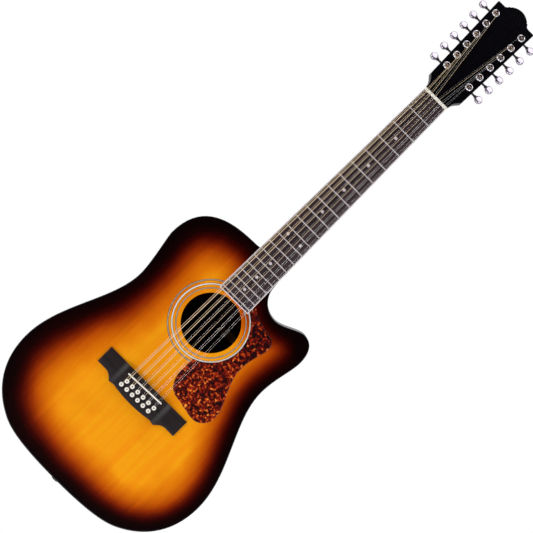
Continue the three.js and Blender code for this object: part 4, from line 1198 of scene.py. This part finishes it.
def end_pin():
    """The strap pin at the tail, turned round the Z axis."""
    foot = TAIL_Z - GAP
    profile = [
        (0, 0.1), (5.2, 0), (6.3, 0.4), (7, 1.5), (7, 2.6), (6.4, 3.6), (4.9, 4.6), (4.4, 5.8), (4.7, 7),
        (6, 8.2), (7, 9), (7, foot), (3.9, foot), (3.9, TAIL_Z + 18), (0, TAIL_Z + 18),
    ]
    shape = moved(turned(profile, 40), Matrix.Rotation(math.pi / 2, 4, "X"))
    add_piece("strap_pin", shape, BLACK_BINDING, "black_plastic", ["end_pin"], sharp=60)


def finish_inner_nodes():
    """The pieces inside the body keep their CAD shape and get wood or steel."""
    for material, names in (
        (INNER_WOOD, ("tail_block", "top_lining", "x_brace", "transverse_brace")),
        (BARE_MAHOGANY, ("neck_block", "back_lining", "back_bracing", "bridge_plate")),
        (ROD_STEEL, ("truss_rod",)),
    ):
        for name in names:
            mesh = frame["nodes"][name].data
            mesh.materials.clear()
            mesh.materials.append(material)


# ==== The studio ====

def camera():
    data = bpy.data.cameras.new("camera")
    data.lens = LENS
    data.sensor_width = 36
    data.clip_end = 50
    viewer = bpy.data.objects.new("camera", data)
    aim = Matrix.Rotation(math.pi / 2, 4, "X") @ Matrix.Rotation(CAMERA_ROLL, 4, "Z")
    viewer.matrix_world = shift(CAMERA_PLACE) @ aim
    bpy.context.scene.collection.objects.link(viewer)
    bpy.context.scene.camera = viewer


def softbox(name, place, size, power):
    data = bpy.data.lights.new(name, "AREA")
    data.shape = "RECTANGLE"
    data.size, data.size_y = size
    data.energy = power
    lamp = bpy.data.objects.new(name, data)
    target = Vector((0, 0, 0.5))
    lamp.location = place
    lamp.rotation_euler = (target - Vector(place)).to_track_quat("-Z", "Y").to_euler()
    bpy.context.scene.collection.objects.link(lamp)


def surround():
    """A white room that shows white, but lights softly and is dark behind the camera, as in a studio."""
    world = bpy.data.worlds.new("studio")
    bpy.context.scene.world = world
    world.use_nodes = True
    world.node_tree.nodes.clear()
    nodes = Nodes(world.node_tree)
    direction = nodes.node("TexCoord").outputs["Generated"]
    depth = nodes.node("SeparateXYZ", Vector=direction).outputs["Y"]
    room = nodes.node("Background", Color=grey(1), Strength=nodes.stretch(depth, -0.8, -0.35, 0, 0.6))
    white = nodes.node("Background", Color=grey(1), Strength=1)
    seen = nodes.node("LightPath").outputs["Is Camera Ray"]
    either = nodes.node("MixShader")
    nodes.feed(either.inputs, seen, room.outputs[0], white.outputs[0])
    nodes.node("OutputWorld", Surface=either.outputs[0])
    bpy.context.scene.view_settings.view_transform = "Standard"


def studio_floor():
    """A plain pale floor, well below the guitar, which hangs."""
    mesh = bpy.data.meshes.new("floor")
    shell = bmesh.new()
    bmesh.ops.create_circle(shell, cap_ends=True, segments=96, radius=FLOOR_RADIUS)
    shell.to_mesh(mesh)
    shell.free()
    floor = bpy.data.objects.new("floor", mesh)
    floor.location = (0, 0, -FLOOR_DROP)
    finish = Finish("pale_floor", 0.9, specular=0.1)
    finish.colour(finish.ramp(finish.noise(400), (0.3, srgb(240, 240, 240)), (0.7, srgb(246, 246, 246))))
    mesh.materials.append(finish.material)
    bpy.context.scene.collection.objects.link(floor)


def lights():
    softbox("left_box", (-2.3, -1.8, 0.6), (1.4, 1.6), 24)
    softbox("right_box", (2.3, -1.8, 0.6), (1.4, 1.6), 27)
    softbox("top_box", (0, -1.0, 3.1), (2.6, 2.0), 24)
    softbox("low_box", (0, -1.5, -1.0), (1.8, 0.8), 12)
    softbox("back_box", (-1.2, 2.6, 1.8), (1.6, 1.6), 14)


# ==== Everything, in order ====

camera()
surround()
lights()
studio_floor()

STRINGS = string_layout()

soundboard()
back_plate()
rib_band()
bindings()
rosette()
blank_label()
pickguard()
bridge()
saddle()
for layout in STRINGS:
    bridge_pin(layout.number, layout.bridge_x, layout.pin_z)
neck_shaft()
heel_cap()
fretboard()
fretboard_edges()
for fret_number in range(1, FRET_COUNT + 1):
    fret(fret_number)
position_dots()
nut()
headstock()
tuners()
for layout in STRINGS:
    string(layout)
end_pin()
finish_inner_nodes()
